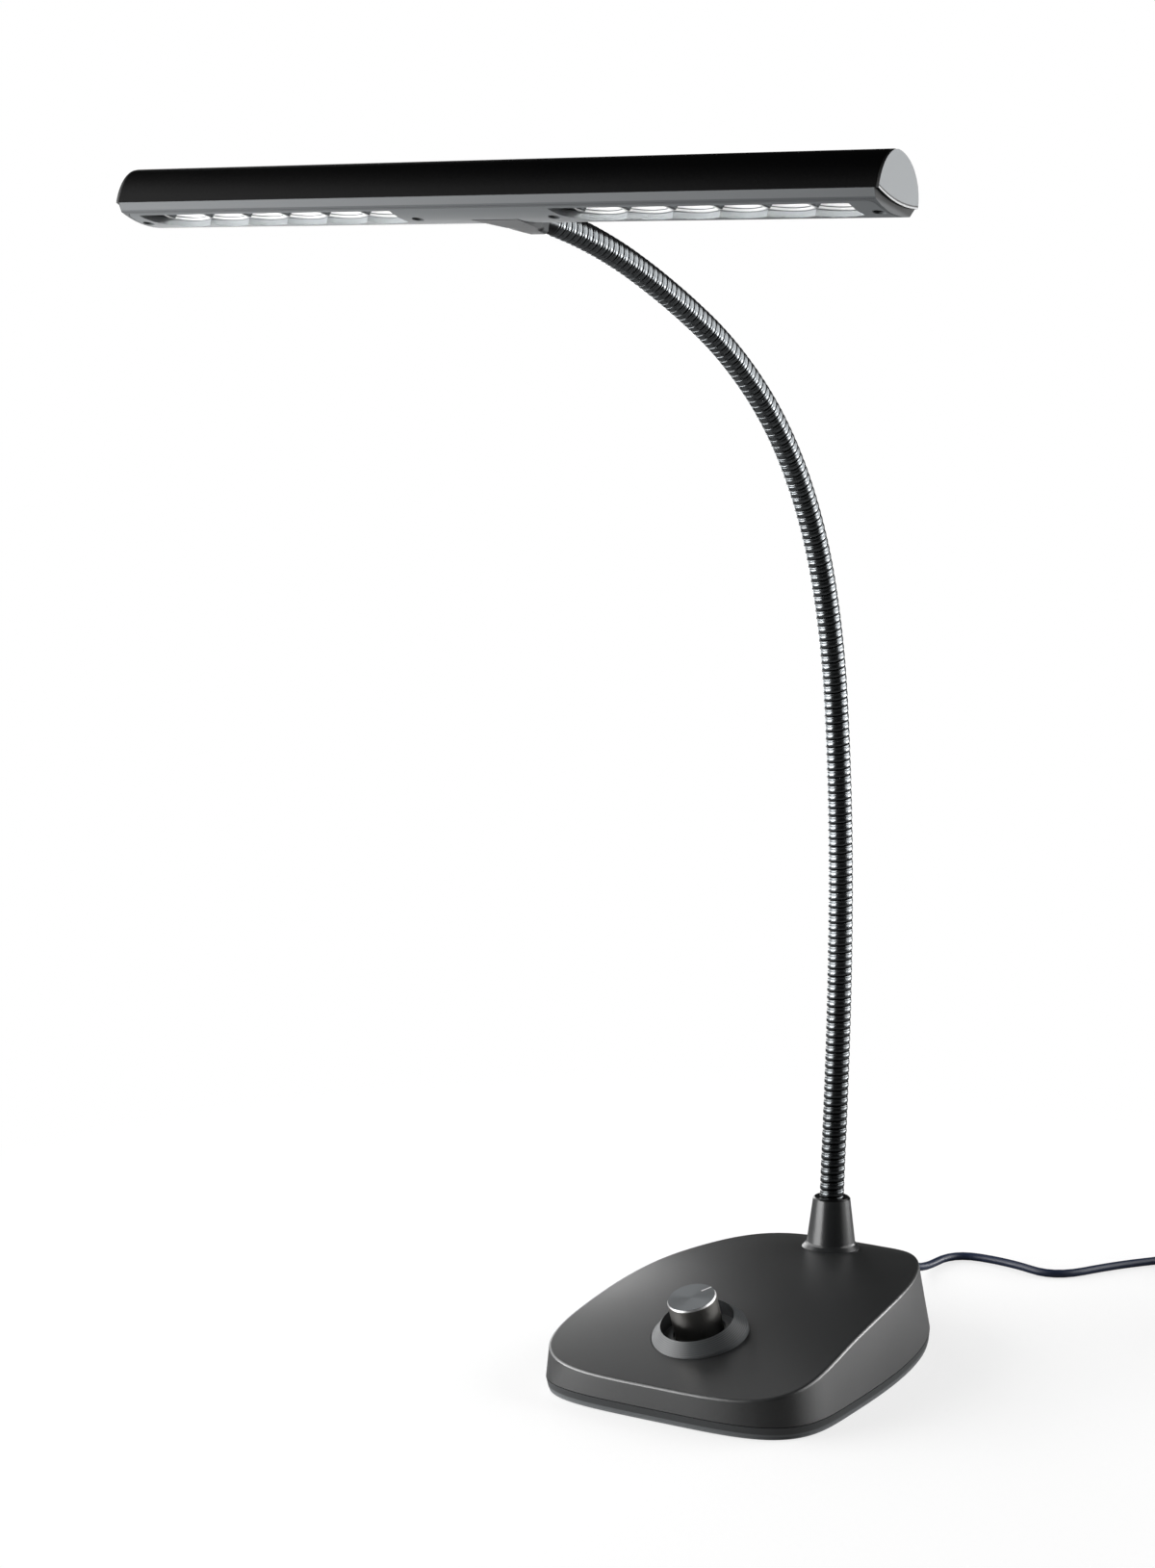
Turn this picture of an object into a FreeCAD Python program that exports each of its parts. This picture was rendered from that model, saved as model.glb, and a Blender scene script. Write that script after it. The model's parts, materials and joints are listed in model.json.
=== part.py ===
import FreeCAD, Part
import math
import os
from FreeCAD import Placement, Rotation, Vector

# A lamp for a piano or music desk: a weighted base with a dimmer knob, a gooseneck that is
# built as a chain of short tubes on ball seats, and a long head with two rows of LED cells.
#
# Units are millimetres.  +Z is up, -Y is the front of the base and +X its right side.
# The origin is on the underside of the base pad, straight below the foot of the neck.

# ---------------------------------------------------------------- driving dimensions

# Base outline: one power curve for the front part and one for the back part.
BASE_HALF_WIDTH = 60.2
BASE_FRONT_Y = -144.9
BASE_WIDEST_Y = -91.2
BASE_BACK_Y = 38.8
BASE_FRONT_POWER = 4.1
BASE_BACK_POWER = 2.5
BASE_TAPER = 0.0005
SIDE_LEAN = 0.11
BACK_LEAN = 0.34
OUTLINE_POINTS = 56

# Base top: height of its edge, and the crown between its two edges.
TOP_FRONT_Z = 14.0
TOP_PEAK_Z = 31.8
TOP_PEAK_Y = -33.0
TOP_BACK_Z = 24.5
CROWN_HEIGHT = 3.2
CROWN_Y = -45.0
TOP_EDGE_ROUND = 1.2

# Base shell, tray and pad.
SHELL_WALL = 2.5
SHELL_ROOF = 2.5
PAD_THICKNESS = 1.2
PAD_INSET = 0.5
PARTING_Z = 5.2
PARTING_GAP = 0.3
BASE_FLOOR = 2.0
BASE_TUCK = 1.0
TONGUE_HEIGHT = 2.5
TONGUE_THICKNESS = 1.5

# Screws that hold the base together.
CASE_SCREW_THREAD_R = 1.45
CASE_SCREW_HEAD_R = 2.8
CASE_SCREW_HEAD_HEIGHT = 2.0
CASE_SCREW_LENGTH = 10.0
CASE_BOSS_R = 3.6
CASE_SCREW_FRONT_X = 40.0
CASE_SCREW_FRONT_Y = -122.0
CASE_SCREW_BACK_X = 32.0
CASE_SCREW_BACK_Y = 10.0

# Ballast block and its screws.
BALLAST_HALF_WIDTH = 40.0
BALLAST_FRONT_Y = -90.0
BALLAST_BACK_Y = -8.0
BALLAST_THICKNESS = 14.0
BALLAST_SCREW_X = 30.0
BALLAST_SCREW_Y = -49.0

# Dimmer knob, its dish and the dimmer control under it.
KNOB_Y = -109.3
KNOB_RIM_Z = 26.7
KNOB_TILT = 19.7
KNOB_TURN = -9.0
DISH_RADIUS = 18.95
DISH_RIM_RADIUS = 14.5
DISH_RIM_HEIGHT = 4.5
DISH_SKIRT_DEPTH = 6.0
DISH_FLOOR_TOP = -1.6
DISH_FLOOR_THICKNESS = 2.0
DISH_RING_INNER_R = 10.4
DISH_RING_OUTER_R = 12.2
DISH_RING_HEIGHT = 1.2
KNOB_TOP_RADIUS = 9.2
KNOB_RADIUS = 9.6
KNOB_CHAMFER = 0.8
KNOB_TOP = 15.0
KNOB_GAP = 0.5
KNOB_RECESS_RADIUS = 7.6
KNOB_RECESS_DEPTH = 4.2
KNOB_BORE_DEPTH = 11.0
GRUB_SCREW_R = 1.5
GRUB_SCREW_HEIGHT = 6.5
SHAFT_RADIUS = 3.0
BUSH_RADIUS = 3.5
CONTROL_RADIUS = 8.5
CONTROL_DEPTH = 7.5
CONTROL_NUT_R = 6.2
CONTROL_NUT_HEIGHT = 2.0
CONTROL_WASHER_R = 6.6
CONTROL_WASHER_HEIGHT = 0.6
CONTROL_PIN_WIDTH = 1.0
CONTROL_PIN_PITCH = 4.0
CONTROL_PIN_Y = 4.5
CONTROL_PIN_THICKNESS = 0.8
CONTROL_PIN_LENGTH = 3.0

# Dimmer board in the front of the base.
BOARD_HALF_WIDTH = 26.0
BOARD_FRONT_Y = -137.0
BOARD_BACK_Y = -106.0
BOARD_THICKNESS = 1.6
BOARD_STANDOFF = 4.0
BOARD_POST_R = 3.0
BOARD_SCREW_X = 21.0
BOARD_SCREW_Y = -121.5
BOARD_SCREW_LENGTH = 5.0
SMALL_SCREW_THREAD_R = 1.1
SMALL_SCREW_HEAD_R = 2.1
SMALL_SCREW_HEAD_HEIGHT = 1.3

# Foot of the neck.
FOOT_SEAT_Z = 33.5
FOOT_RADIUS = 12.0
CONE_BOTTOM_RADIUS = 10.0
CONE_TOP_RADIUS = 7.4
CONE_START_HEIGHT = 3.4
FERRULE_TOP_Z = 55.6
FERRULE_WALL = 1.3
FERRULE_LIP = 1.2
SOCKET_TOP_Z = 54.2
SOCKET_FLOOR_Z = 49.9
SOCKET_BASE_Z = 46.9
STUD_RADIUS = 4.0
STUD_BORE_R = 2.5
STUD_LOW_Z = 21.5
NECK_BOSS_RADIUS = 12.5
NECK_BOSS_DEPTH = 6.0
STUD_WASHER_R = 8.5
STUD_WASHER_HEIGHT = 1.0
STUD_NUT_R = 7.0
STUD_NUT_HEIGHT = 4.0
FERRULE_FOOT_RIM = 1.0
FERRULE_BEAD = 0.4
FERRULE_TOP_CHAMFER = 0.6
SOCKET_NECK_WALL = 0.65

# Gooseneck: one lean angle from the vertical at its root, at each bend and at its tip.
NECK_RADIUS = 5.0
NECK_BORE_R = 2.6
NECK_BALL_R = 4.2
NECK_CORE_R = 3.9
NECK_TURN = -5.0
NECK_ROOT_Y = -0.1
NECK_ROOT_LENGTH = 30.0
NECK_LINK_LENGTH = 46.0
NECK_TIP_LENGTH = 72.0
NECK_LEANS = (-1.6, -2.9, -1.2, 1.0, 4.4, 7.7, 17.8, 32.8, 49.5, 62.8, 68.7, 83.8)
NECK_BEND_LIMIT = 18.0

# Head, in its own frame: X along the head, Y from front to back, Z away from the light.
HEAD_LENGTH = 312.8
HEAD_CHORD = 27.2
HEAD_FRONT_REACH = 10.9
HEAD_HEIGHT = 14.8
HEAD_SAG = 1.6
HEAD_TILT = 11.3
HEAD_TURN = 3.4
HEAD_ROLL = 0.7
NECK_END_IN_HEAD = (0.95, 15.3, 2.3)
COVER_WALL = 1.5
CAP_THICKNESS = 1.2
CAP_PLUG_DEPTH = 3.5
CAP_PLUG_WALL = 1.4

# Light tray, panel and the two rows of LED cells, which are alike and not mirrored.
TRAY_DEPTH = 3.0
TRAY_BEVEL = 1.9
TRAY_END_BEVEL = 0.4
TRAY_WALL = 1.4
PANEL_MARGIN = 1.3
PANEL_THICKNESS = 0.9
PANEL_LEDGE = 0.6
PANEL_CORNER_R = 2.5
LIGHT_LEFT_MARGIN = 14.6
LIGHT_RIGHT_MARGIN = 12.4
LIGHT_MIDDLE_BAND = 72.2
WINDOW_FRONT = -9.05
WINDOW_CUSP = 2.15
WINDOW_BULGE = 3.0
WINDOW_ENTRY = 6.8
WINDOW_ENTRY_BOW = 1.2
CELL_COUNT = 6
CELL_FIN = 0.8
CELL_WALL = 0.5
CELL_DEPTH = 6.4
CELL_TOP_LENGTH = 5.6
CELL_TOP_WIDTH = 4.8
LED_LENGTH = 3.5
LED_WIDTH = 2.8
LED_HEIGHT = 0.8
LED_BOARD_THICKNESS = 1.4
LED_BOARD_WIDTH = 12.0
PANEL_SCREW_BEFORE = 9.0
PANEL_SCREW_AFTER = 6.6
PANEL_SCREW_Y = -0.95
PANEL_SCREW_LENGTH = 6.5
PANEL_POST_R = 2.3

# Bracket between the neck and the back of the head.
BRACKET_X = 1.6
BRACKET_HALF_WIDTH = 10.6
BRACKET_NECK_HALF_WIDTH = 7.0
BRACKET_END = 24.0
BRACKET_SHOULDER = 15.0
BRACKET_TOP = 9.8
BRACKET_TOP_FALL = 0.6
BRACKET_FRONT_Y = 1.0
BRACKET_FRONT_Z = -4.7
BRACKET_KNEE_Y = 12.0
BRACKET_KNEE_Z = -4.6
BRACKET_HEEL_Y = 19.0
BRACKET_HEEL_Z = -4.4
BRACKET_NECK_Z = -3.9
BRACKET_RAMP_X = 0.4
BRACKET_RAMP_SLOPE = 12.0
BRACKET_ROUND = 1.6
BRACKET_LEFT_X = -6.9
BRACKET_SLANT = 0.61
BRACKET_SCREW_MIDDLE_X = 4.9
BRACKET_SCREW_X = 5.3
BRACKET_SCREW_Y = 7.4
BRACKET_SCREW_LENGTH = 3.9

# Wires inside the base and the head.
WIRE_RADIUS = 0.8
WIRE_SPACING = 1.9
WIRE_HOLE_R = 2.0

# Cord, its grommet, coil and plug-in power supply.
CORD_RADIUS = 1.75
CORD_EXIT_Z = 14.0
GROMMET_RADIUS = 3.4
GROMMET_TIP_R = 2.5
GROMMET_FLANGE_R = 4.9
GROMMET_FLANGE = 1.4
COIL_X = 122.4
COIL_Y = 183.4
COIL_TURNS = 5
COIL_LAYERS = 2
COIL_OUTER_TURN_R = 27.6
COIL_PITCH = 3.6
SUPPLY_TURN = -158.0
SUPPLY_LENGTH = 60.0
SUPPLY_HALF_WIDTH = 20.0
SUPPLY_HEIGHT = 27.0
SUPPLY_ROUND = 3.0
SUPPLY_RELIEF_LENGTH = 13.0
SUPPLY_RELIEF_R = 4.0
BLADE_SPACING = 12.7
BLADE_LENGTH = 16.0
BLADE_HEIGHT = 6.3
BLADE_THICKNESS = 1.5

# Clearances.
FIT = 0.15
LOOSE = 0.3
RUNNING = 0.05

# ---------------------------------------------------------------- derived values

BASE_FLOOR_TOP = PAD_THICKNESS + BASE_FLOOR
BASE_RIM_Z = PARTING_Z - PARTING_GAP
CASE_SEAT_Z = PAD_THICKNESS + CASE_SCREW_HEAD_HEIGHT + FIT
CASE_POST_TOP = CASE_SEAT_Z + BASE_FLOOR
BALLAST_TOP = BASE_FLOOR_TOP + BALLAST_THICKNESS
BOARD_Z = BASE_FLOOR_TOP + BOARD_STANDOFF
NECK_BOSS_Z = FOOT_SEAT_Z - NECK_BOSS_DEPTH
STUD_WASHER_LOW = NECK_BOSS_Z - STUD_WASHER_HEIGHT
RIM_GAP = NECK_RADIUS * math.sin(math.radians(NECK_BEND_LIMIT)) / 2 + LOOSE
HALF_CHORD = HEAD_CHORD / 2
PEAK_Y = HEAD_FRONT_REACH - HALF_CHORD
TRAY_BOTTOM_HALF = HALF_CHORD - TRAY_BEVEL
TRAY_LOW_Z = -TRAY_DEPTH - HEAD_SAG
LIGHT_ROOM = HEAD_LENGTH - LIGHT_LEFT_MARGIN - LIGHT_RIGHT_MARGIN - LIGHT_MIDDLE_BAND
WINDOW_LENGTH = LIGHT_ROOM / 2
CELL_PITCH = WINDOW_LENGTH / CELL_COUNT
LIGHT_UNIT_LEFT_X = LIGHT_LEFT_MARGIN - HEAD_LENGTH / 2
LIGHT_UNIT_X = (LIGHT_UNIT_LEFT_X, LIGHT_UNIT_LEFT_X + WINDOW_LENGTH + LIGHT_MIDDLE_BAND)
WINDOW_BACK = WINDOW_CUSP + WINDOW_BULGE
CELL_MIDDLE_Y = (WINDOW_FRONT + WINDOW_CUSP) / 2
COVER_HALF_LENGTH = HEAD_LENGTH / 2 - CAP_THICKNESS
PANEL_TOP_Z = -TRAY_DEPTH + PANEL_THICKNESS
LEDGE_TOP_Z = PANEL_TOP_Z + TRAY_WALL
LED_BOARD_Z = PANEL_TOP_Z + CELL_DEPTH
SCREW_SEAT_Z = PANEL_TOP_Z - PANEL_THICKNESS / 2
UNIT_SCREWS = (-PANEL_SCREW_BEFORE, WINDOW_LENGTH + PANEL_SCREW_AFTER)
BRACKET_SCREWS_AT = (BRACKET_SCREW_MIDDLE_X - BRACKET_SCREW_X, BRACKET_SCREW_MIDDLE_X + BRACKET_SCREW_X)
PANEL_SCREW_X = [left + offset for left in LIGHT_UNIT_X for offset in UNIT_SCREWS]
COIL_END = (COIL_X, COIL_Y + COIL_OUTER_TURN_R, CORD_RADIUS + COIL_PITCH)
FAR = 400.0

nodes = {}


def keep(name, *shapes):
    """Store the finished solids of one sub-part under its node name."""
    solids = [solid for shape in shapes for solid in shape.Solids]
    nodes[name] = solids[0] if len(solids) == 1 else Part.makeCompound(solids)


def cylinder(radius, low, high, x=0.0, y=0.0):
    """An upright round bar."""
    return Part.makeCylinder(radius, high - low, Vector(x, y, low))


def block(x_low, x_high, y_low, y_high, z_low, z_high):
    """A box given by its limits."""
    corner = Vector(x_low, y_low, z_low)
    return Part.makeBox(x_high - x_low, y_high - y_low, z_high - z_low, corner)


def turned(profile):
    """A solid of revolution about Z from a closed list of (radius, height) points."""
    points = [Vector(radius, 0, height) for radius, height in profile]
    face = Part.Face(Part.makePolygon(points + points[:1]))
    return face.revolve(Vector(0, 0, 0), Vector(0, 0, 1), 360)


def placed(shape, placement):
    """A copy of a shape moved by a placement."""
    copy = shape.copy()
    copy.Placement = placement.multiply(copy.Placement)
    return copy


def merged(first, *others):
    """Several touching solids as one."""
    return first.fuse(list(others)).removeSplitter()


def hexagon_nut(width_radius, bore, low, height):
    """A six-sided nut standing on a height, about Z."""
    corners = [
        Vector(width_radius * math.cos(k * math.pi / 3), width_radius * math.sin(k * math.pi / 3), low)
        for k in range(6)
    ]
    nut = Part.Face(Part.makePolygon(corners + corners[:1])).extrude(Vector(0, 0, height))
    return nut.cut(cylinder(bore, low - 1, low + height + 1))


def pan_screw(thread_r, head_r, head_height, length, slot=0.8):
    """A pan-head screw about Z: its head stands up from 0, its thread goes down."""
    screw = merged(cylinder(head_r, 0, head_height), cylinder(thread_r, -length, 0))
    depth = head_height * 0.55
    for turn in (0, 90):
        groove = block(-head_r * 0.6, head_r * 0.6, -slot / 2, slot / 2, head_height - depth, FAR)
        groove.rotate(Vector(0, 0, 0), Vector(0, 0, 1), turn)
        screw = screw.cut(groove)
    return screw


# ---------------------------------------------------------------- base


def outline_point(angle, inset, height):
    """One point of the base's outline at a height, pulled in by an inset."""
    side = BASE_HALF_WIDTH - inset - SIDE_LEAN * height
    if math.sin(angle) < 0:
        depth = BASE_WIDEST_Y - BASE_FRONT_Y - inset
        power = BASE_FRONT_POWER
    else:
        depth = BASE_BACK_Y - BASE_WIDEST_Y - inset - BACK_LEAN * height
        power = BASE_BACK_POWER
    across = abs(math.cos(angle) / side) ** power
    along = abs(math.sin(angle) / depth) ** power
    reach = (across + along) ** (-1 / power)
    y = reach * math.sin(angle)
    x = reach * math.cos(angle) * (1 - BASE_TAPER * y)
    return Vector(x, BASE_WIDEST_Y + y, height)


def outline_wire(inset, height):
    """The base's outline as one smooth closed curve."""
    angles = [2 * math.pi * k / OUTLINE_POINTS for k in range(OUTLINE_POINTS)]
    curve = Part.BSplineCurve()
    curve.interpolate(Points=[outline_point(a, inset, height) for a in angles], PeriodicFlag=True)
    return Part.Wire(curve.toShape())


def outline_block(low_inset, low, high_inset, high):
    """The base's outline as a solid between two heights."""
    wires = [outline_wire(low_inset, low), outline_wire(high_inset, high)]
    return Part.makeLoft(wires, True, True)


def top_height(x, y):
    """Height of the base's top surface."""
    if y < TOP_PEAK_Y:
        share = (y - TOP_PEAK_Y) / (BASE_FRONT_Y - TOP_PEAK_Y)
        edge = TOP_PEAK_Z - (TOP_PEAK_Z - TOP_FRONT_Z) * share**2
    else:
        share = (y - TOP_PEAK_Y) / (BASE_BACK_Y - TOP_PEAK_Y)
        edge = TOP_PEAK_Z - (TOP_PEAK_Z - TOP_BACK_Z) * share**4
    if y < CROWN_Y:
        crown = CROWN_HEIGHT * (1 - ((y - CROWN_Y) / (BASE_FRONT_Y - CROWN_Y)) ** 2)
    else:
        crown = CROWN_HEIGHT * (1 - ((y - CROWN_Y) / (BASE_BACK_Y - CROWN_Y)) ** 4)
    return edge + crown * (1 - (x / BASE_HALF_WIDTH) ** 2)


def below_top(drop):
    """Everything below the base's top surface, lowered by a drop."""
    margin = 6.0
    columns = 9
    rows = 19
    grid = []
    for i in range(columns):
        x = (BASE_HALF_WIDTH + margin) * (2 * i / (columns - 1) - 1)
        row = []
        for j in range(rows):
            start = BASE_FRONT_Y - margin
            y = start + (BASE_BACK_Y + margin - start) * j / (rows - 1)
            row.append(Vector(x, y, top_height(x, y) - drop))
        grid.append(row)
    surface = Part.BSplineSurface()
    surface.interpolate(grid)
    return surface.toShape().extrude(Vector(0, 0, -FAR / 4))


LOFT_TOP = TOP_PEAK_Z + CROWN_HEIGHT + 4.0
CASE_SCREWS = (
    (-CASE_SCREW_FRONT_X, CASE_SCREW_FRONT_Y),
    (CASE_SCREW_FRONT_X, CASE_SCREW_FRONT_Y),
    (-CASE_SCREW_BACK_X, CASE_SCREW_BACK_Y),
    (CASE_SCREW_BACK_X, CASE_SCREW_BACK_Y),
)

knob_turn = Rotation(Vector(0, 0, 1), KNOB_TURN)
knob_lean = knob_turn.multiply(Rotation(Vector(1, 0, 0), KNOB_TILT))
knob_frame = Placement(Vector(0, KNOB_Y, KNOB_RIM_Z), knob_lean)
cord_wall_y = BASE_BACK_Y - BACK_LEAN * CORD_EXIT_Z
flange_back_y = cord_wall_y - SHELL_WALL - BACK_LEAN * GROMMET_FLANGE_R - FIT


def along_y(shape, x, y, z):
    """A shape built about Z, laid along +Y with its foot at a point."""
    return placed(shape, Placement(Vector(x, y, z), Rotation(Vector(1, 0, 0), -90)))


def base_cover():
    roof = below_top(0)
    outer = outline_block(0, PARTING_Z, 0, LOFT_TOP).common(roof)
    rim = [edge for edge in outer.Edges if edge.BoundBox.ZMin > PARTING_Z + 1]
    outer = outer.makeFillet(TOP_EDGE_ROUND, [edge for edge in rim if edge.Length > BASE_HALF_WIDTH])
    inner = outline_block(SHELL_WALL, PARTING_Z - 1, SHELL_WALL, LOFT_TOP)
    inside = inner.common(below_top(SHELL_ROOF))
    cover = outer.cut(inside)
    under_roof = below_top(SHELL_ROOF / 2)
    within_wall = outline_block(SHELL_WALL / 2, PARTING_Z, SHELL_WALL / 2, LOFT_TOP).common(under_roof)
    for x, y in CASE_SCREWS:
        boss = cylinder(CASE_BOSS_R, CASE_POST_TOP, LOFT_TOP, x, y).common(within_wall)
        cover = cover.fuse(boss)
    neck_boss = cylinder(NECK_BOSS_RADIUS, NECK_BOSS_Z, LOFT_TOP).common(under_roof)
    cover = cover.fuse(neck_boss)
    for x, y in CASE_SCREWS:
        pilot_top = CASE_SEAT_Z + CASE_SCREW_LENGTH + 1
        cover = cover.cut(cylinder(CASE_SCREW_THREAD_R, CASE_POST_TOP - 1, pilot_top, x, y))
    cover = cover.cut(cylinder(STUD_RADIUS + FIT, NECK_BOSS_Z - 1, LOFT_TOP))
    cover = cover.cut(cylinder(FOOT_RADIUS + FIT, FOOT_SEAT_Z, LOFT_TOP))
    dish_hole = cylinder(DISH_RADIUS + FIT, -FAR / 20, FAR / 20)
    cover = cover.cut(placed(dish_hole, knob_frame))
    cord_hole = cylinder(GROMMET_RADIUS + FIT, -2 * SHELL_WALL, 2 * SHELL_WALL)
    return cover.cut(along_y(cord_hole, 0, cord_wall_y, CORD_EXIT_Z))


def base_tray():
    outer = outline_block(BASE_TUCK, PAD_THICKNESS, 0, BASE_RIM_Z)
    inner = outline_block(SHELL_WALL, BASE_FLOOR_TOP, SHELL_WALL, BASE_RIM_Z + 1)
    tray = outer.cut(inner)
    tongue_top = BASE_RIM_Z + TONGUE_HEIGHT
    tongue_inset = SHELL_WALL + LOOSE
    tongue = outline_block(tongue_inset, BASE_FLOOR_TOP - 1, tongue_inset, tongue_top)
    inner_inset = tongue_inset + TONGUE_THICKNESS
    tongue = tongue.cut(outline_block(inner_inset, BASE_FLOOR_TOP - 2, inner_inset, tongue_top + 1))
    tray = tray.fuse(tongue)
    for x, y in CASE_SCREWS:
        tray = tray.fuse(cylinder(CASE_SCREW_HEAD_R + BASE_FLOOR, PAD_THICKNESS, CASE_POST_TOP, x, y))
    for x in (-BALLAST_SCREW_X, BALLAST_SCREW_X):
        tray = tray.cut(cylinder(CASE_SCREW_THREAD_R, 0, BASE_FLOOR_TOP + 1, x, BALLAST_SCREW_Y))
    for x in (-BOARD_SCREW_X, BOARD_SCREW_X):
        tray = tray.fuse(cylinder(BOARD_POST_R, BASE_FLOOR_TOP - 1, BOARD_Z, x, BOARD_SCREW_Y))
    for x in (-BOARD_SCREW_X, BOARD_SCREW_X):
        bottom = BOARD_Z + BOARD_THICKNESS - BOARD_SCREW_LENGTH - FIT
        tray = tray.cut(cylinder(SMALL_SCREW_THREAD_R, bottom, BOARD_Z + 1, x, BOARD_SCREW_Y))
    for x, y in CASE_SCREWS:
        tray = tray.cut(cylinder(CASE_SCREW_HEAD_R + LOOSE, 0, CASE_SEAT_Z, x, y))
        tray = tray.cut(cylinder(CASE_SCREW_THREAD_R + FIT, 0, CASE_POST_TOP + 1, x, y))
        tray = tray.cut(cylinder(CASE_BOSS_R + LOOSE, CASE_POST_TOP, FAR, x, y))
    return tray.removeSplitter()


def base_pad():
    pad = outline_block(BASE_TUCK + PAD_INSET, 0, BASE_TUCK + PAD_INSET, PAD_THICKNESS)
    for x, y in CASE_SCREWS:
        pad = pad.cut(cylinder(CASE_SCREW_HEAD_R + LOOSE, -1, PAD_THICKNESS + 1, x, y))
    return pad


def ballast():
    steel = block(
        -BALLAST_HALF_WIDTH, BALLAST_HALF_WIDTH, BALLAST_FRONT_Y, BALLAST_BACK_Y, BASE_FLOOR_TOP, BALLAST_TOP
    )
    upright = [edge for edge in steel.Edges if edge.BoundBox.ZLength > BALLAST_THICKNESS / 2]
    steel = steel.makeFillet(BALLAST_THICKNESS / 3, upright)
    seat = BALLAST_TOP - CASE_SCREW_HEAD_HEIGHT
    for x in (-BALLAST_SCREW_X, BALLAST_SCREW_X):
        steel = steel.cut(cylinder(CASE_SCREW_THREAD_R + FIT, 0, FAR, x, BALLAST_SCREW_Y))
        steel = steel.cut(cylinder(CASE_SCREW_HEAD_R + LOOSE, seat, FAR, x, BALLAST_SCREW_Y))
    return steel


def placed_screws(thread_r, head_r, head_height, length, points, flip=False):
    """Copies of one screw, head up or head down, with the head's seat at each point."""
    turn = Rotation(Vector(1, 0, 0), 180 if flip else 0)
    screw = pan_screw(thread_r, head_r, head_height, length)
    return [placed(screw, Placement(Vector(*point), turn)) for point in points]


def build_base():
    keep("base_cover", base_cover())
    keep("base_tray", base_tray())
    keep("base_pad", base_pad())
    keep("ballast_block", ballast())
    case_points = [(x, y, CASE_SEAT_Z) for x, y in CASE_SCREWS]
    keep("base_screws", *placed_screws(
        CASE_SCREW_THREAD_R, CASE_SCREW_HEAD_R, CASE_SCREW_HEAD_HEIGHT, CASE_SCREW_LENGTH, case_points, True
    ))
    seat = BALLAST_TOP - CASE_SCREW_HEAD_HEIGHT
    ballast_points = [(x, BALLAST_SCREW_Y, seat) for x in (-BALLAST_SCREW_X, BALLAST_SCREW_X)]
    ballast_length = seat - PAD_THICKNESS
    keep("ballast_screws", *placed_screws(
        CASE_SCREW_THREAD_R, CASE_SCREW_HEAD_R, CASE_SCREW_HEAD_HEIGHT, ballast_length, ballast_points
    ))


# ---------------------------------------------------------------- dimmer control


def knob_dish():
    skirt_low = -DISH_SKIRT_DEPTH
    floor_low = DISH_FLOOR_TOP - DISH_FLOOR_THICKNESS
    profile = (
        (BUSH_RADIUS + FIT, floor_low),
        (DISH_RADIUS - SHELL_WALL, floor_low),
        (DISH_RADIUS - SHELL_WALL, skirt_low),
        (DISH_RADIUS, skirt_low),
        (DISH_RADIUS, 0),
        (DISH_RIM_RADIUS, DISH_RIM_HEIGHT),
        (DISH_RIM_RADIUS, DISH_FLOOR_TOP),
        (DISH_RING_OUTER_R, DISH_FLOOR_TOP),
        (DISH_RING_OUTER_R, DISH_FLOOR_TOP + DISH_RING_HEIGHT),
        (DISH_RING_INNER_R, DISH_FLOOR_TOP + DISH_RING_HEIGHT),
        (DISH_RING_INNER_R, DISH_FLOOR_TOP),
        (BUSH_RADIUS + FIT, DISH_FLOOR_TOP),
    )
    return turned(profile)


WASHER_TOP = DISH_FLOOR_TOP + CONTROL_WASHER_HEIGHT
NUT_TOP = WASHER_TOP + CONTROL_NUT_HEIGHT
KNOB_LOW = DISH_FLOOR_TOP + KNOB_GAP
KNOB_RECESS_TOP = KNOB_LOW + KNOB_RECESS_DEPTH
CONTROL_TOP = DISH_FLOOR_TOP - DISH_FLOOR_THICKNESS
SHAFT_TOP = KNOB_LOW + KNOB_BORE_DEPTH


def dimmer_knob():
    profile = (
        (0, KNOB_LOW),
        (KNOB_RADIUS, KNOB_LOW),
        (KNOB_TOP_RADIUS + KNOB_CHAMFER / 2, KNOB_TOP - KNOB_CHAMFER),
        (KNOB_TOP_RADIUS, KNOB_TOP),
        (0, KNOB_TOP),
    )
    knob = turned(profile)
    knob = knob.cut(cylinder(KNOB_RECESS_RADIUS, KNOB_LOW - 1, KNOB_RECESS_TOP))
    return knob.cut(cylinder(SHAFT_RADIUS, KNOB_LOW - 1, SHAFT_TOP)).cut(grub_hole())


def grub_hole():
    """The threaded hole in the back of the knob, from its side to the shaft."""
    hole = cylinder(GRUB_SCREW_R, SHAFT_RADIUS, FAR / 20)
    return along_y(hole, 0, 0, KNOB_LOW + GRUB_SCREW_HEIGHT)


def grub_screw():
    screw = cylinder(GRUB_SCREW_R, SHAFT_RADIUS, KNOB_TOP_RADIUS - KNOB_CHAMFER)
    return along_y(screw, 0, 0, KNOB_LOW + GRUB_SCREW_HEIGHT)


def control_body():
    can = cylinder(CONTROL_RADIUS, CONTROL_TOP - CONTROL_DEPTH, CONTROL_TOP)
    bush = cylinder(BUSH_RADIUS, CONTROL_TOP, NUT_TOP)
    bore = cylinder(SHAFT_RADIUS + RUNNING, CONTROL_TOP - CONTROL_DEPTH / 2, NUT_TOP + 1)
    return merged(can, bush).cut(bore)


def control_shaft():
    return cylinder(SHAFT_RADIUS, CONTROL_TOP - CONTROL_DEPTH / 2 + RUNNING, SHAFT_TOP)


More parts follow.
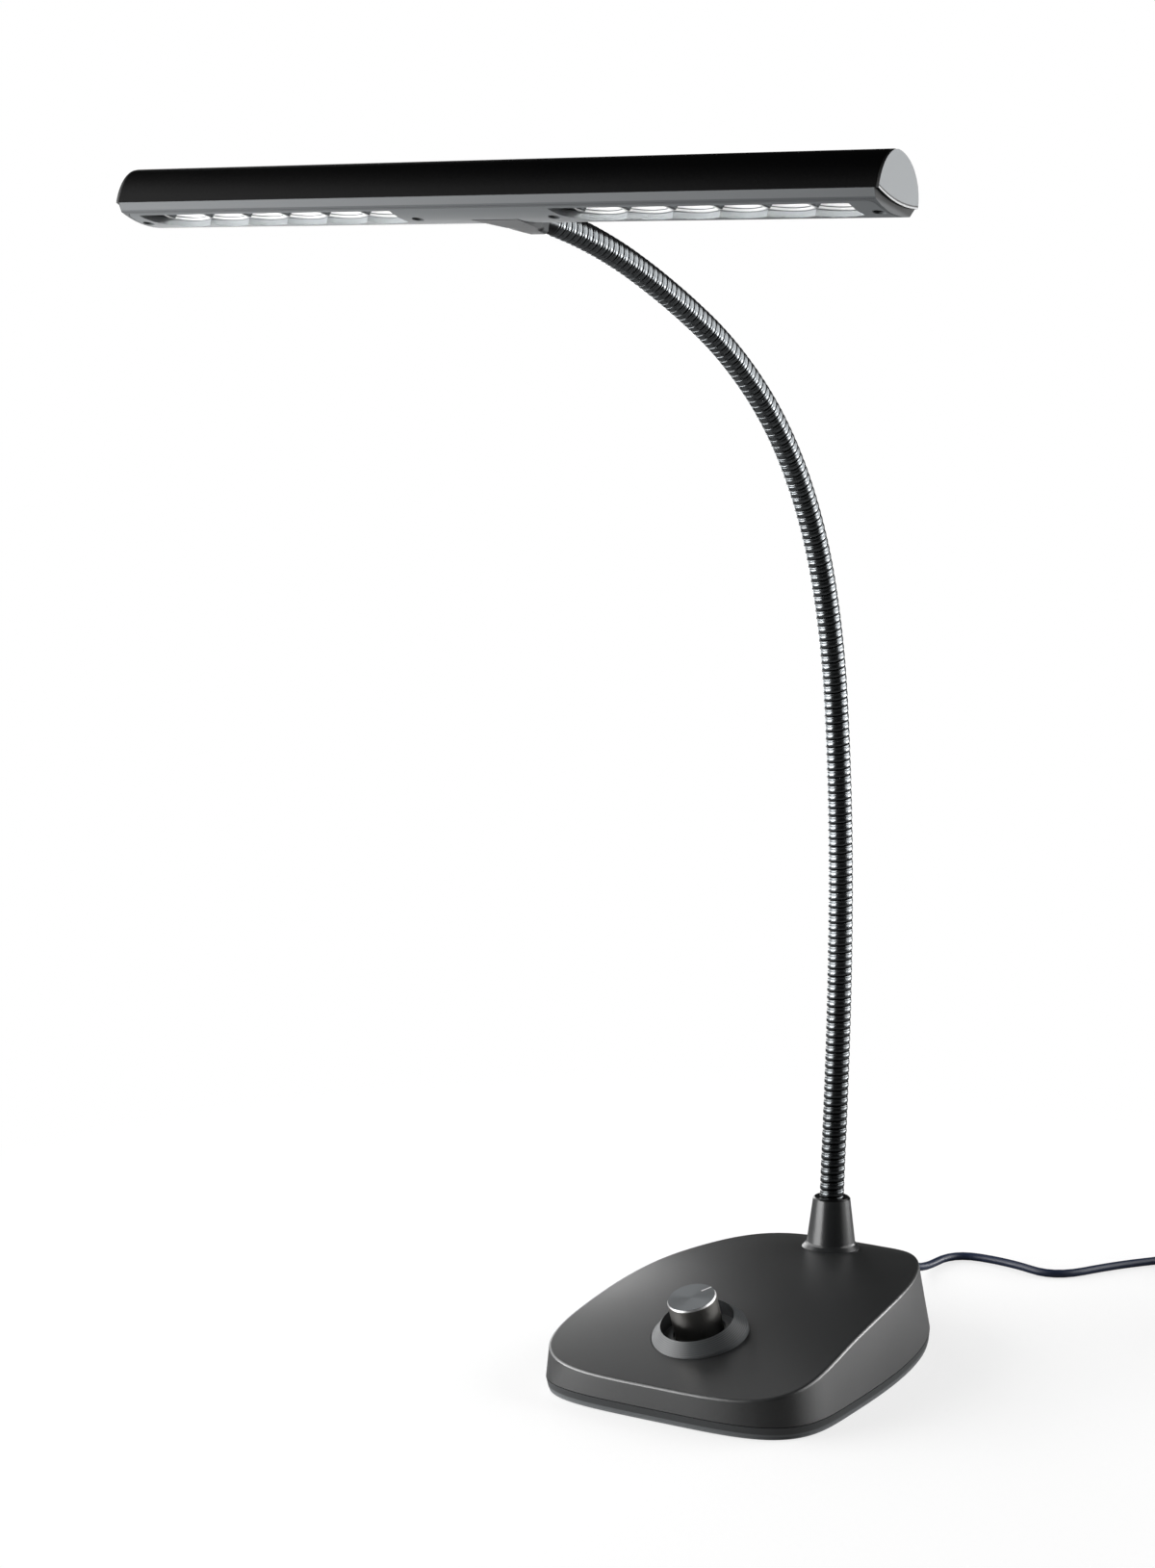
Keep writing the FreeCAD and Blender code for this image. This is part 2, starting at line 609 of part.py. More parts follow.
def control_pins():
    """Three solder pins that hang from the control's back."""
    top = CONTROL_TOP - CONTROL_DEPTH
    half = CONTROL_PIN_WIDTH / 2
    back = CONTROL_PIN_Y + CONTROL_PIN_THICKNESS
    pins = []
    for x in (-CONTROL_PIN_PITCH, 0, CONTROL_PIN_PITCH):
        pins.append(block(x - half, x + half, CONTROL_PIN_Y, back, top - CONTROL_PIN_LENGTH, top))
    return pins


def build_dimmer():
    washer = cylinder(CONTROL_WASHER_R, DISH_FLOOR_TOP, WASHER_TOP)
    washer = washer.cut(cylinder(BUSH_RADIUS + FIT, DISH_FLOOR_TOP - 1, WASHER_TOP + 1))
    parts = {
        "knob_dish": [knob_dish()],
        "dimmer_knob": [dimmer_knob()],
        "knob_grub_screw": [grub_screw()],
        "dimmer_control": [control_body()],
        "dimmer_shaft": [control_shaft()],
        "control_pins": control_pins(),
        "control_washer": [washer],
        "control_nut": [hexagon_nut(CONTROL_NUT_R, BUSH_RADIUS, WASHER_TOP, CONTROL_NUT_HEIGHT)],
    }
    for name, shapes in parts.items():
        keep(name, *[placed(shape, knob_frame) for shape in shapes])


def build_board():
    """The dimmer board on its two posts, with its components and screws."""
    board = block(
        -BOARD_HALF_WIDTH, BOARD_HALF_WIDTH, BOARD_FRONT_Y, BOARD_BACK_Y, BOARD_Z, BOARD_Z + BOARD_THICKNESS
    )
    for x in (-BOARD_SCREW_X, BOARD_SCREW_X):
        board = board.cut(cylinder(SMALL_SCREW_THREAD_R + FIT, 0, FAR, x, BOARD_SCREW_Y))
    top = BOARD_Z + BOARD_THICKNESS
    middle = (BOARD_FRONT_Y + BOARD_BACK_Y) / 2
    components = [
        block(-14, -6, middle - 4, middle + 4, top, top + 3.0),
        block(-2, 4, middle - 9, middle - 4, top, top + 1.6),
        block(7, 14, middle + 3, middle + 9, top, top + 3.5),
        block(-15, -9, middle + 6.5, middle + 11, top, top + 3.5),
        cylinder(2.5, top, top + 3.6, 9.5, middle - 7),
    ]
    keep("dimmer_board", board)
    keep("board_components", *components)
    points = [(x, BOARD_SCREW_Y, top) for x in (-BOARD_SCREW_X, BOARD_SCREW_X)]
    keep("board_screws", *placed_screws(
        SMALL_SCREW_THREAD_R, SMALL_SCREW_HEAD_R, SMALL_SCREW_HEAD_HEIGHT, BOARD_SCREW_LENGTH, points
    ))


def base_wires():
    """The supply wire from the grommet and the lamp wire up to the neck, both to the board."""
    board_top = BOARD_Z + BOARD_THICKNESS
    board_y = BOARD_BACK_Y - 2.0
    over = BALLAST_TOP + WIRE_RADIUS + LOOSE
    supply = (
        (0, flange_back_y - GROMMET_FLANGE - 2 * LOOSE, CORD_EXIT_Z),
        (4, 22, CORD_EXIT_Z),
        (14, 12, over - 1),
        (18, -4, over + 1.2),
        (17, -34, over + 0.3),
        (13, -64, over + 0.5),
        (11, -94, over + 0.6),
        (9, -103, over - 6),
        (8, board_y, board_top + WIRE_RADIUS + RUNNING),
    )
    lamp = (
        (0, 0, STUD_LOW_Z + 4),
        (0, 0.6, over + 0.9),
        (-5, -6, over + 1.2),
        (-12, -24, over + 0.3),
        (-15, -50, over + 0.5),
        (-12, -76, over + 0.2),
        (-9, -95, over + 0.5),
        (-6, -103, over - 6),
        (-4, board_y, board_top + WIRE_RADIUS + RUNNING),
    )
    return [tube_along(route, WIRE_RADIUS) for route in (supply, lamp)]


# ---------------------------------------------------------------- foot of the neck


def neck_ferrule():
    cone_low = FOOT_SEAT_Z + CONE_START_HEIGHT
    cone_high = FERRULE_TOP_Z
    lip_low = cone_high - FERRULE_LIP
    cavity = CONE_TOP_RADIUS - FERRULE_WALL
    profile = (
        (CONE_BOTTOM_RADIUS - FERRULE_WALL, FOOT_SEAT_Z),
        (FOOT_RADIUS, FOOT_SEAT_Z),
        (FOOT_RADIUS, FOOT_SEAT_Z + FERRULE_FOOT_RIM),
        (CONE_BOTTOM_RADIUS + FERRULE_BEAD, cone_low - 2 * FERRULE_BEAD),
        (CONE_BOTTOM_RADIUS, cone_low),
        (CONE_TOP_RADIUS + FERRULE_TOP_CHAMFER / 2, cone_high - FERRULE_TOP_CHAMFER),
        (CONE_TOP_RADIUS - FERRULE_TOP_CHAMFER / 2, cone_high),
        (NECK_RADIUS + LOOSE, cone_high),
        (NECK_RADIUS + LOOSE, lip_low),
        (cavity, lip_low),
        (CONE_BOTTOM_RADIUS - FERRULE_WALL, cone_low),
    )
    return turned(profile)


def neck_stud():
    """The threaded tube through the base's roof, with the socket that grips the neck."""
    profile = (
        (STUD_BORE_R, STUD_LOW_Z),
        (STUD_RADIUS, STUD_LOW_Z),
        (STUD_RADIUS, SOCKET_BASE_Z),
        (NECK_RADIUS + FIT + SOCKET_NECK_WALL, SOCKET_BASE_Z),
        (NECK_RADIUS + FIT + SOCKET_NECK_WALL, SOCKET_TOP_Z),
        (NECK_RADIUS + FIT, SOCKET_TOP_Z),
        (NECK_RADIUS + FIT, SOCKET_FLOOR_Z),
        (STUD_BORE_R, SOCKET_FLOOR_Z),
    )
    return turned(profile)


def build_neck_foot():
    washer = cylinder(STUD_WASHER_R, STUD_WASHER_LOW, NECK_BOSS_Z)
    nut_low = STUD_WASHER_LOW - STUD_NUT_HEIGHT
    keep("neck_ferrule", neck_ferrule())
    keep("neck_stud", neck_stud())
    keep("stud_washer", washer.cut(cylinder(STUD_RADIUS + FIT, 0, FAR)))
    keep("stud_nut", hexagon_nut(STUD_NUT_R, STUD_RADIUS, nut_low, STUD_NUT_HEIGHT))


# ---------------------------------------------------------------- gooseneck

neck_frame = Placement(Vector(0, 0, 0), Rotation(Vector(0, 0, 1), NECK_TURN))


def neck_lengths():
    """Length of each neck tube from the root to the tip."""
    links = len(NECK_LEANS) - 3
    return [NECK_ROOT_LENGTH] + [NECK_LINK_LENGTH] * links + [NECK_TIP_LENGTH]


def neck_knots():
    """The neck's root, bends and tip as points of the plane it bends in."""
    point = Vector(0, NECK_ROOT_Y, SOCKET_FLOOR_Z + FIT)
    knots = [point]
    for k, length in enumerate(neck_lengths()):
        turn = math.radians(NECK_LEANS[k + 1] - NECK_LEANS[k])
        mean = math.radians(NECK_LEANS[k + 1] + NECK_LEANS[k]) / 2
        chord = 2 * (length / turn) * math.sin(turn / 2)
        point = point + Vector(0, -chord * math.sin(mean), chord * math.cos(mean))
        knots.append(point)
    return knots


def neck_axis(lean):
    """Direction of the neck's centre line at a lean from the vertical."""
    return Vector(0, -math.sin(math.radians(lean)), math.cos(math.radians(lean)))


def bent_bar(radius, start, start_lean, end_lean, length):
    """A round bar along one arc of the neck's centre line."""
    turn = end_lean - start_lean
    bend_radius = length / math.radians(turn)
    sideways = Vector(0, -neck_axis(start_lean).z, neck_axis(start_lean).y)
    centre = start + sideways * bend_radius
    face = Part.Face(Part.Wire(Part.makeCircle(radius, start, neck_axis(start_lean))))
    return face.revolve(centre, Vector(1, 0, 0), turn)


def half_space(point, direction):
    """A large block whose face is at a point and which lies on the side of a direction."""
    side = FAR / 4
    solid = Part.makeBox(side, side, side / 2, Vector(-side / 2, -side / 2, 0))
    return placed(solid, Placement(point, Rotation(Vector(0, 0, 1), direction)))


def neck_tube(index, knots):
    """One tube of the gooseneck: a ball at its lower end and a ball seat at its upper end."""
    last = len(knots) - 2
    start, end = knots[index], knots[index + 1]
    lean_low, lean_high = NECK_LEANS[index], NECK_LEANS[index + 1]
    length = neck_lengths()[index]
    along_start = Rotation(Vector(0, 0, 1), neck_axis(lean_low))
    tube = bent_bar(NECK_RADIUS, start, lean_low, lean_high, length)
    if index > 0:
        skirt = start + neck_axis(lean_low) * RIM_GAP
        tube = tube.cut(half_space(skirt, neck_axis(lean_low) * -1))
        ball = Part.makeSphere(NECK_BALL_R, start)
        core = placed(cylinder(NECK_CORE_R, 0, RIM_GAP + LOOSE), Placement(start, along_start))
        tube = tube.fuse([ball, core])
    if index < last:
        rim = end - neck_axis(lean_high) * RIM_GAP
        tube = tube.cut(half_space(rim, neck_axis(lean_high)))
        tube = tube.cut(Part.makeSphere(NECK_BALL_R + LOOSE, end))
    bore = bent_bar(NECK_BORE_R, start, lean_low, lean_high, length)
    mouth = cylinder(NECK_BORE_R + FIT, -NECK_RADIUS, RIM_GAP)
    return tube.cut(bore).cut(placed(mouth, Placement(start, along_start)))


def build_neck():
    knots = neck_knots()
    for index in range(len(knots) - 1):
        keep(f"neck_tube_{index:02d}", placed(neck_tube(index, knots), neck_frame))


# ---------------------------------------------------------------- head

head_turn = Rotation(Vector(0, 0, 1), HEAD_TURN)
head_roll = Rotation(Vector(0, 1, 0), HEAD_ROLL)
head_lean = Rotation(Vector(1, 0, 0), -HEAD_TILT)
head_rotation = head_turn.multiply(head_roll).multiply(head_lean)
neck_end_from_head = head_rotation.multVec(Vector(*NECK_END_IN_HEAD))
head_frame = neck_frame.multiply(Placement(neck_knots()[-1] - neck_end_from_head, head_rotation))


def quarter_ellipse(centre_y, reach, height, start_degrees, x):
    """A quarter of an ellipse in the head's section plane, as an edge."""
    points = []
    steps = 8
    for k in range(steps + 1):
        angle = math.radians(start_degrees + 90.0 * k / steps)
        points.append(Vector(x, centre_y + reach * math.cos(angle), height * math.sin(angle)))
    curve = Part.BSplineCurve()
    curve.interpolate(points)
    return curve.toShape()


def dome_bar(inset, x_low, x_high, sag):
    """The domed section of the head between two stations, pulled in by an inset."""
    back_reach = HEAD_CHORD - HEAD_FRONT_REACH - inset
    front_reach = HEAD_FRONT_REACH - inset
    height = HEAD_HEIGHT - inset
    back = Vector(x_low, PEAK_Y + back_reach, 0)
    front = Vector(x_low, PEAK_Y - front_reach, 0)
    middle = Vector(x_low, (back.y + front.y) / 2, -sag)
    edges = [
        quarter_ellipse(PEAK_Y, back_reach, height, 0, x_low),
        quarter_ellipse(PEAK_Y, front_reach, height, 90, x_low),
    ]
    edges.append(Part.Arc(front, middle, back).toShape() if sag > 0 else Part.makeLine(front, back))
    face = Part.Face(Part.Wire(edges))
    return face.extrude(Vector(x_high - x_low, 0, 0))


def neck_tip():
    """The neck's tip in the head's own frame, as a placement with Z along the neck."""
    tip = neck_frame.multVec(neck_knots()[-1])
    ahead = neck_frame.multVec(neck_knots()[-1] + neck_axis(NECK_LEANS[-1]))
    inverse = head_frame.inverse()
    start = inverse.multVec(tip)
    return Placement(start, Rotation(Vector(0, 0, 1), inverse.multVec(ahead) - start))


def wire_hole():
    """The hole through the bracket and the back of the cover, in line with the neck."""
    return placed(cylinder(WIRE_HOLE_R, -NECK_RADIUS, HEAD_CHORD), neck_tip())


def head_cover():
    shell = dome_bar(0, -COVER_HALF_LENGTH, COVER_HALF_LENGTH, 0)
    hollow = dome_bar(COVER_WALL, -COVER_HALF_LENGTH - 1, COVER_HALF_LENGTH + 1, 0)
    cover = shell.cut(hollow)
    for x in PANEL_SCREW_X:
        post = cylinder(PANEL_POST_R, 0, HEAD_HEIGHT, x, PANEL_SCREW_Y)
        cover = cover.fuse(post.common(dome_bar(COVER_WALL / 2, x - HEAD_CHORD, x + HEAD_CHORD, 0)))
    for x in PANEL_SCREW_X:
        pilot_top = SCREW_SEAT_Z + PANEL_SCREW_LENGTH + LOOSE
        cover = cover.cut(cylinder(SMALL_SCREW_THREAD_R, -1, pilot_top, x, PANEL_SCREW_Y))
    return cover.cut(wire_hole())


def end_cap(side):
    """A cap on one end of the cover: a plate, and a ring that plugs into the cover."""
    plate_in = side * COVER_HALF_LENGTH
    low, high = sorted((side * HEAD_LENGTH / 2, plate_in))
    plate = dome_bar(FIT, low, high, HEAD_SAG)
    low, high = sorted((plate_in, plate_in - side * CAP_PLUG_DEPTH))
    plug = dome_bar(COVER_WALL + FIT, low, high, 0)
    plug = plug.cut(dome_bar(COVER_WALL + FIT + CAP_PLUG_WALL, low - 1, high + 1, 0))
    room = PANEL_POST_R + LOOSE
    plug = plug.cut(block(low - 1, high + 1, PANEL_SCREW_Y - room, PANEL_SCREW_Y + room, -1, FAR))
    above_tray = block(-FAR, FAR, -FAR, FAR, COVER_WALL + FIT, FAR)
    return plate.fuse(plug.common(above_tray))


def tray_bar(half_length):
    """The outside of the light tray: bevelled sides and ends, and a gently rounded bottom."""
    points = [
        Vector(-half_length, -HALF_CHORD, 0),
        Vector(-half_length, -TRAY_BOTTOM_HALF, -TRAY_DEPTH),
        Vector(-half_length, 0, TRAY_LOW_Z),
        Vector(-half_length, TRAY_BOTTOM_HALF, -TRAY_DEPTH),
        Vector(-half_length, HALF_CHORD, 0),
    ]
    edges = [
        Part.makeLine(points[0], points[1]),
        Part.Arc(points[1], points[2], points[3]).toShape(),
        Part.makeLine(points[3], points[4]),
        Part.makeLine(points[4], points[0]),
    ]
    bar = Part.Face(Part.Wire(edges)).extrude(Vector(2 * half_length, 0, 0))
    bevel = math.atan2(TRAY_END_BEVEL, TRAY_DEPTH)
    for side in (-1, 1):
        outward = Vector(side * math.cos(bevel), 0, -math.sin(bevel))
        end = Part.makeBox(FAR, FAR, FAR, Vector(-FAR / 2, -FAR / 2, 0))
        at_end = Placement(Vector(side * half_length, 0, 0), Rotation(Vector(0, 0, 1), outward))
        bar = bar.cut(placed(end, at_end))
    return bar


def panel_plan(inset, low, high):
    """A slab with the plan of the tray's bottom, pulled in by an inset."""
    half_x = COVER_HALF_LENGTH - TRAY_END_BEVEL - inset
    half_y = TRAY_BOTTOM_HALF - inset
    slab = block(-half_x, half_x, -half_y, half_y, low, high)
    upright = [edge for edge in slab.Edges if edge.BoundBox.ZLength > (high - low) / 2]
    return slab.makeFillet(PANEL_CORNER_R, upright)


def tongue_left(y):
    """Where the slanting left side of the bracket's tongue is at a distance from front to back."""
    return BRACKET_LEFT_X + BRACKET_SLANT * (y - BRACKET_FRONT_Y)


def slab_between(corners, low, high):
    """An upright slab on a plan of straight sides."""
    points = [Vector(x, y, low) for x, y in corners]
    return Part.Face(Part.makePolygon(points + points[:1])).extrude(Vector(0, 0, high - low))


def tongue_room(low, high, gap):
    """The space that the bracket's tongue takes from the tray and the panel."""
    front = BRACKET_FRONT_Y - gap
    right = BRACKET_X + BRACKET_HALF_WIDTH + gap
    left_front = tongue_left(front) - gap
    left_back = tongue_left(HEAD_CHORD) - gap
    corners = [(left_front, front), (right, front), (right, HEAD_CHORD), (left_back, HEAD_CHORD)]
    return slab_between(corners, low, high)


def light_tray():
    body = tray_bar(COVER_HALF_LENGTH)
    side_wall = block(
        TRAY_WALL - COVER_HALF_LENGTH, COVER_HALF_LENGTH - TRAY_WALL,
        TRAY_WALL - HALF_CHORD, HALF_CHORD - TRAY_WALL, LEDGE_TOP_Z, FAR,
    )
    tray = body.cut(side_wall)
    tray = tray.cut(panel_plan(PANEL_MARGIN, -HEAD_CHORD, PANEL_TOP_Z))
    tray = tray.cut(panel_plan(PANEL_MARGIN + PANEL_LEDGE, -HEAD_CHORD, HEAD_CHORD))
    webs = [
        block(x - PANEL_POST_R, x + PANEL_POST_R, PANEL_SCREW_Y - PANEL_POST_R, HALF_CHORD, PANEL_TOP_Z, 0)
        for x in PANEL_SCREW_X
    ]
    webs.append(tongue_room(PANEL_TOP_Z, 0, 0))
    tray = tray.fuse([web.common(body) for web in webs])
    tray = tray.cut(tongue_room(-HEAD_CHORD, PANEL_TOP_Z, FIT))
    for x in PANEL_SCREW_X:
        tray = tray.cut(cylinder(SMALL_SCREW_THREAD_R + FIT, -HEAD_CHORD, 1, x, PANEL_SCREW_Y))
    for x in BRACKET_SCREWS_AT:
        tray = tray.cut(cylinder(SMALL_SCREW_THREAD_R + FIT, -HEAD_CHORD, 1, x, BRACKET_SCREW_Y))
    return tray.removeSplitter()


def window(left, grow, low, high):
    """The opening of one light unit: scalloped at the back and bowed at its left end."""
    back = WINDOW_CUSP + grow
    front = WINDOW_FRONT - grow
    right = left + WINDOW_LENGTH + grow
    entry = Vector(left - WINDOW_ENTRY - grow, front, low)
    edges = [Part.makeLine(entry, Vector(right, front, low)), Part.makeLine(
        Vector(right, front, low), Vector(right, back, low)
    )]
    corner = Vector(right, back, low)
    for k in reversed(range(CELL_COUNT)):
        cusp = Vector(left + CELL_PITCH * k - (grow if k == 0 else 0), back, low)
        middle = Vector(left + CELL_PITCH * (k + 0.5), WINDOW_BACK + grow, low)
        edges.append(Part.Arc(corner, middle, cusp).toShape())
        corner = cusp
    bow = (corner + entry) * 0.5 + Vector(-WINDOW_ENTRY_BOW, WINDOW_ENTRY_BOW / 2, 0)
    edges.append(Part.Arc(corner, bow, entry).toShape())
    return Part.Face(Part.Wire(edges)).extrude(Vector(0, 0, high - low))


def light_panel():
    panel = tray_bar(COVER_HALF_LENGTH).common(panel_plan(PANEL_MARGIN + FIT, -HEAD_CHORD, PANEL_TOP_Z))
    for left in LIGHT_UNIT_X:
        panel = panel.cut(window(left, 0, -HEAD_CHORD, 0))
    for x in PANEL_SCREW_X:
        panel = panel.cut(cylinder(SMALL_SCREW_THREAD_R + FIT, -HEAD_CHORD, 0, x, PANEL_SCREW_Y))
        panel = panel.cut(cylinder(SMALL_SCREW_HEAD_R + FIT, -HEAD_CHORD, SCREW_SEAT_Z, x, PANEL_SCREW_Y))
    return panel.cut(tongue_room(-HEAD_CHORD, 0, LOOSE))


def bowl(left):
    """The tapering hollow of one cell between the window and its LED."""
    x = left + CELL_PITCH / 2
    half = (CELL_PITCH - CELL_FIN) / 2
    front = WINDOW_FRONT + CELL_FIN / 2
    back = WINDOW_CUSP - CELL_FIN / 2
    low = [
        Vector(x - half, front, PANEL_TOP_Z),
        Vector(x + half, front, PANEL_TOP_Z),
        Vector(x + half, back, PANEL_TOP_Z),
        Vector(x - half, back, PANEL_TOP_Z),
    ]
    scallop = Part.Arc(low[2], Vector(x, back + WINDOW_BULGE, PANEL_TOP_Z), low[3]).toShape()
    wire_low = Part.Wire([
        Part.makeLine(low[0], low[1]), Part.makeLine(low[1], low[2]), scallop, Part.makeLine(low[3], low[0])
    ])
    top_x, top_y = CELL_TOP_LENGTH / 2, CELL_TOP_WIDTH / 2
    high = [
        Vector(x - top_x, CELL_MIDDLE_Y - top_y, LED_BOARD_Z),
        Vector(x + top_x, CELL_MIDDLE_Y - top_y, LED_BOARD_Z),
        Vector(x + top_x, CELL_MIDDLE_Y + top_y, LED_BOARD_Z),
        Vector(x - top_x, CELL_MIDDLE_Y + top_y, LED_BOARD_Z),
    ]
    return Part.makeLoft([wire_low, Part.makePolygon(high + high[:1])], True, True)


def reflector(left):
    """One row of bowls in a block that stands on the panel."""
    row = window(left, CELL_WALL, PANEL_TOP_Z, LED_BOARD_Z)
    for k in range(CELL_COUNT):
        row = row.cut(bowl(left + CELL_PITCH * k))
    return row


def led_board(left):
    low_y = CELL_MIDDLE_Y - LED_BOARD_WIDTH / 2
    return block(
        left - CELL_WALL, left + WINDOW_LENGTH + CELL_WALL, low_y, low_y + LED_BOARD_WIDTH,
        LED_BOARD_Z, LED_BOARD_Z + LED_BOARD_THICKNESS,
    )


def led_chips(left):
    chips = []
    for k in range(CELL_COUNT):
        x = left + CELL_PITCH * (k + 0.5)
        chips.append(block(
            x - LED_LENGTH / 2, x + LED_LENGTH / 2, CELL_MIDDLE_Y - LED_WIDTH / 2,
            CELL_MIDDLE_Y + LED_WIDTH / 2, LED_BOARD_Z - LED_HEIGHT, LED_BOARD_Z,
        ))
    return chips


def bracket():
    """The block behind the head that takes the neck's tip, with a tongue under the tray."""
    profile = (
        (BRACKET_FRONT_Y, PANEL_TOP_Z),
        (BRACKET_FRONT_Y, BRACKET_FRONT_Z),
        (BRACKET_KNEE_Y, BRACKET_KNEE_Z),
        (BRACKET_HEEL_Y, BRACKET_HEEL_Z),
        (BRACKET_END, BRACKET_NECK_Z),
        (BRACKET_END, BRACKET_TOP - BRACKET_TOP_FALL),
        (BRACKET_SHOULDER, BRACKET_TOP),
        (PEAK_Y + HEAD_CHORD / 4, BRACKET_TOP),
        (PEAK_Y + HEAD_CHORD / 4, PANEL_TOP_Z),
    )
    points = [Vector(-BRACKET_HALF_WIDTH, y, z) for y, z in profile]
    side = Part.Face(Part.makePolygon(points + points[:1]))
    solid = side.extrude(Vector(2 * BRACKET_HALF_WIDTH, 0, 0))
    plan = (
        (-BRACKET_HALF_WIDTH, BRACKET_FRONT_Y - 1),
        (BRACKET_HALF_WIDTH, BRACKET_FRONT_Y - 1),
        (BRACKET_HALF_WIDTH, BRACKET_SHOULDER),
        (BRACKET_NECK_HALF_WIDTH, BRACKET_END + 1),
        (-BRACKET_NECK_HALF_WIDTH, BRACKET_END + 1),
        (-BRACKET_HALF_WIDTH, BRACKET_SHOULDER),
    )
    corners = [Vector(x, y, -HEAD_CHORD) for x, y in plan]
    outline = Part.Face(Part.makePolygon(corners + corners[:1])).extrude(Vector(0, 0, 2 * HEAD_CHORD))
    solid = solid.common(outline).removeSplitter()
    rounded = [
        edge for edge in solid.Edges
        if edge.BoundBox.YMax > BRACKET_SHOULDER + 1 and edge.BoundBox.YLength > 1
        and edge.BoundBox.XMin * edge.BoundBox.XMax > 0 and edge.BoundBox.YMin > BRACKET_KNEE_Y - 1
    ]
    solid = solid.makeFillet(BRACKET_ROUND, rounded)
    ramp_reach = 2 * BRACKET_HALF_WIDTH
    ramp_rise = ramp_reach * math.tan(math.radians(BRACKET_RAMP_SLOPE))
    ramp = [
        Vector(BRACKET_RAMP_X, BRACKET_KNEE_Y + LOOSE, BRACKET_NECK_Z),
        Vector(BRACKET_RAMP_X - ramp_reach, BRACKET_KNEE_Y + LOOSE, BRACKET_NECK_Z + ramp_rise),
        Vector(BRACKET_RAMP_X - ramp_reach, BRACKET_KNEE_Y + LOOSE, -HEAD_CHORD),
        Vector(BRACKET_RAMP_X, BRACKET_KNEE_Y + LOOSE, -HEAD_CHORD),
    ]
    solid = solid.cut(Part.Face(Part.makePolygon(ramp + ramp[:1])).extrude(Vector(0, HEAD_CHORD, 0)))
    solid.translate(Vector(BRACKET_X, 0, 0))
    knee = BRACKET_KNEE_Y + LOOSE
    beside = [(-HEAD_CHORD, 0), (tongue_left(0), 0), (tongue_left(knee), knee), (-HEAD_CHORD, knee)]
    solid = solid.cut(slab_between(beside, -HEAD_CHORD, PANEL_TOP_Z))
    solid = solid.cut(dome_bar(-RUNNING, -HEAD_CHORD, HEAD_CHORD, 0))
    bevel_low = Vector(-HEAD_CHORD, TRAY_BOTTOM_HALF + RUNNING, -TRAY_DEPTH)
    bevel_high = Vector(-HEAD_CHORD, HALF_CHORD + RUNNING, 0)
    inner = [
        Vector(-HEAD_CHORD, 0, PANEL_TOP_Z), Vector(-HEAD_CHORD, 0, 0), bevel_high,
        bevel_low + (bevel_high - bevel_low) * (PANEL_THICKNESS / TRAY_DEPTH),
    ]
    tray_side = Part.Face(Part.makePolygon(inner + inner[:1])).extrude(Vector(2 * HEAD_CHORD, 0, 0))
    solid = solid.cut(tray_side)
    solid = solid.cut(placed(cylinder(NECK_RADIUS + FIT, -HEAD_CHORD, 0), neck_tip()))
    for x in BRACKET_SCREWS_AT:
        bottom = -BRACKET_SCREW_LENGTH - FIT
        solid = solid.cut(cylinder(SMALL_SCREW_THREAD_R, bottom, 0, x, BRACKET_SCREW_Y))
    return solid.cut(wire_hole())


def head_wires():
    """Two wires from the neck's bore to the backs of the LED boards."""
    board_top = LED_BOARD_Z + LED_BOARD_THICKNESS
    tip = neck_tip()
    left_end = LIGHT_UNIT_X[0] + WINDOW_LENGTH - 2
    right_end = LIGHT_UNIT_X[1] + 2
    wires = []
    for side, end_x in ((-1, left_end), (1, right_end)):
        route = (
            tip.multVec(Vector(side * WIRE_SPACING / 2, 0, 1)),
            tip.multVec(Vector(side * WIRE_SPACING / 2, 0, 4.5)),
            (side * 5.0, -3.5, 7.8),
            (side * 14.0, -6.2, 7.4),
            (side * 26.0, -6.6, 7.2),
            (end_x, CELL_MIDDLE_Y, board_top + WIRE_RADIUS + RUNNING),
        )
        wires.append(tube_along(route, WIRE_RADIUS))
    return wires


def build_head():
    parts = {
        "head_cover": [head_cover()],
        "light_tray": [light_tray()],
        "light_panel": [light_panel()],
        "neck_bracket": [bracket()],
        "head_wires": head_wires(),
    }
    for word, side, left in (("left", -1, LIGHT_UNIT_X[0]), ("right", 1, LIGHT_UNIT_X[1])):
        parts[f"end_cap_{word}"] = [end_cap(side)]
        parts[f"reflector_{word}"] = [reflector(left)]
        parts[f"led_board_{word}"] = [led_board(left)]
        parts[f"led_chips_{word}"] = led_chips(left)
    panel_points = [(x, PANEL_SCREW_Y, SCREW_SEAT_Z) for x in PANEL_SCREW_X]
    parts["panel_screws"] = placed_screws(
        SMALL_SCREW_THREAD_R, SMALL_SCREW_HEAD_R, SMALL_SCREW_HEAD_HEIGHT, PANEL_SCREW_LENGTH,
        panel_points, True,
    )
    bracket_points = [(x, BRACKET_SCREW_Y, 0) for x in BRACKET_SCREWS_AT]
    parts["bracket_screws"] = placed_screws(
        SMALL_SCREW_THREAD_R, SMALL_SCREW_HEAD_R, SMALL_SCREW_HEAD_HEIGHT, BRACKET_SCREW_LENGTH,
        bracket_points,
    )
    for name, shapes in parts.items():
        keep(name, *[placed(shape, head_frame) for shape in shapes])


# ---------------------------------------------------------------- cord

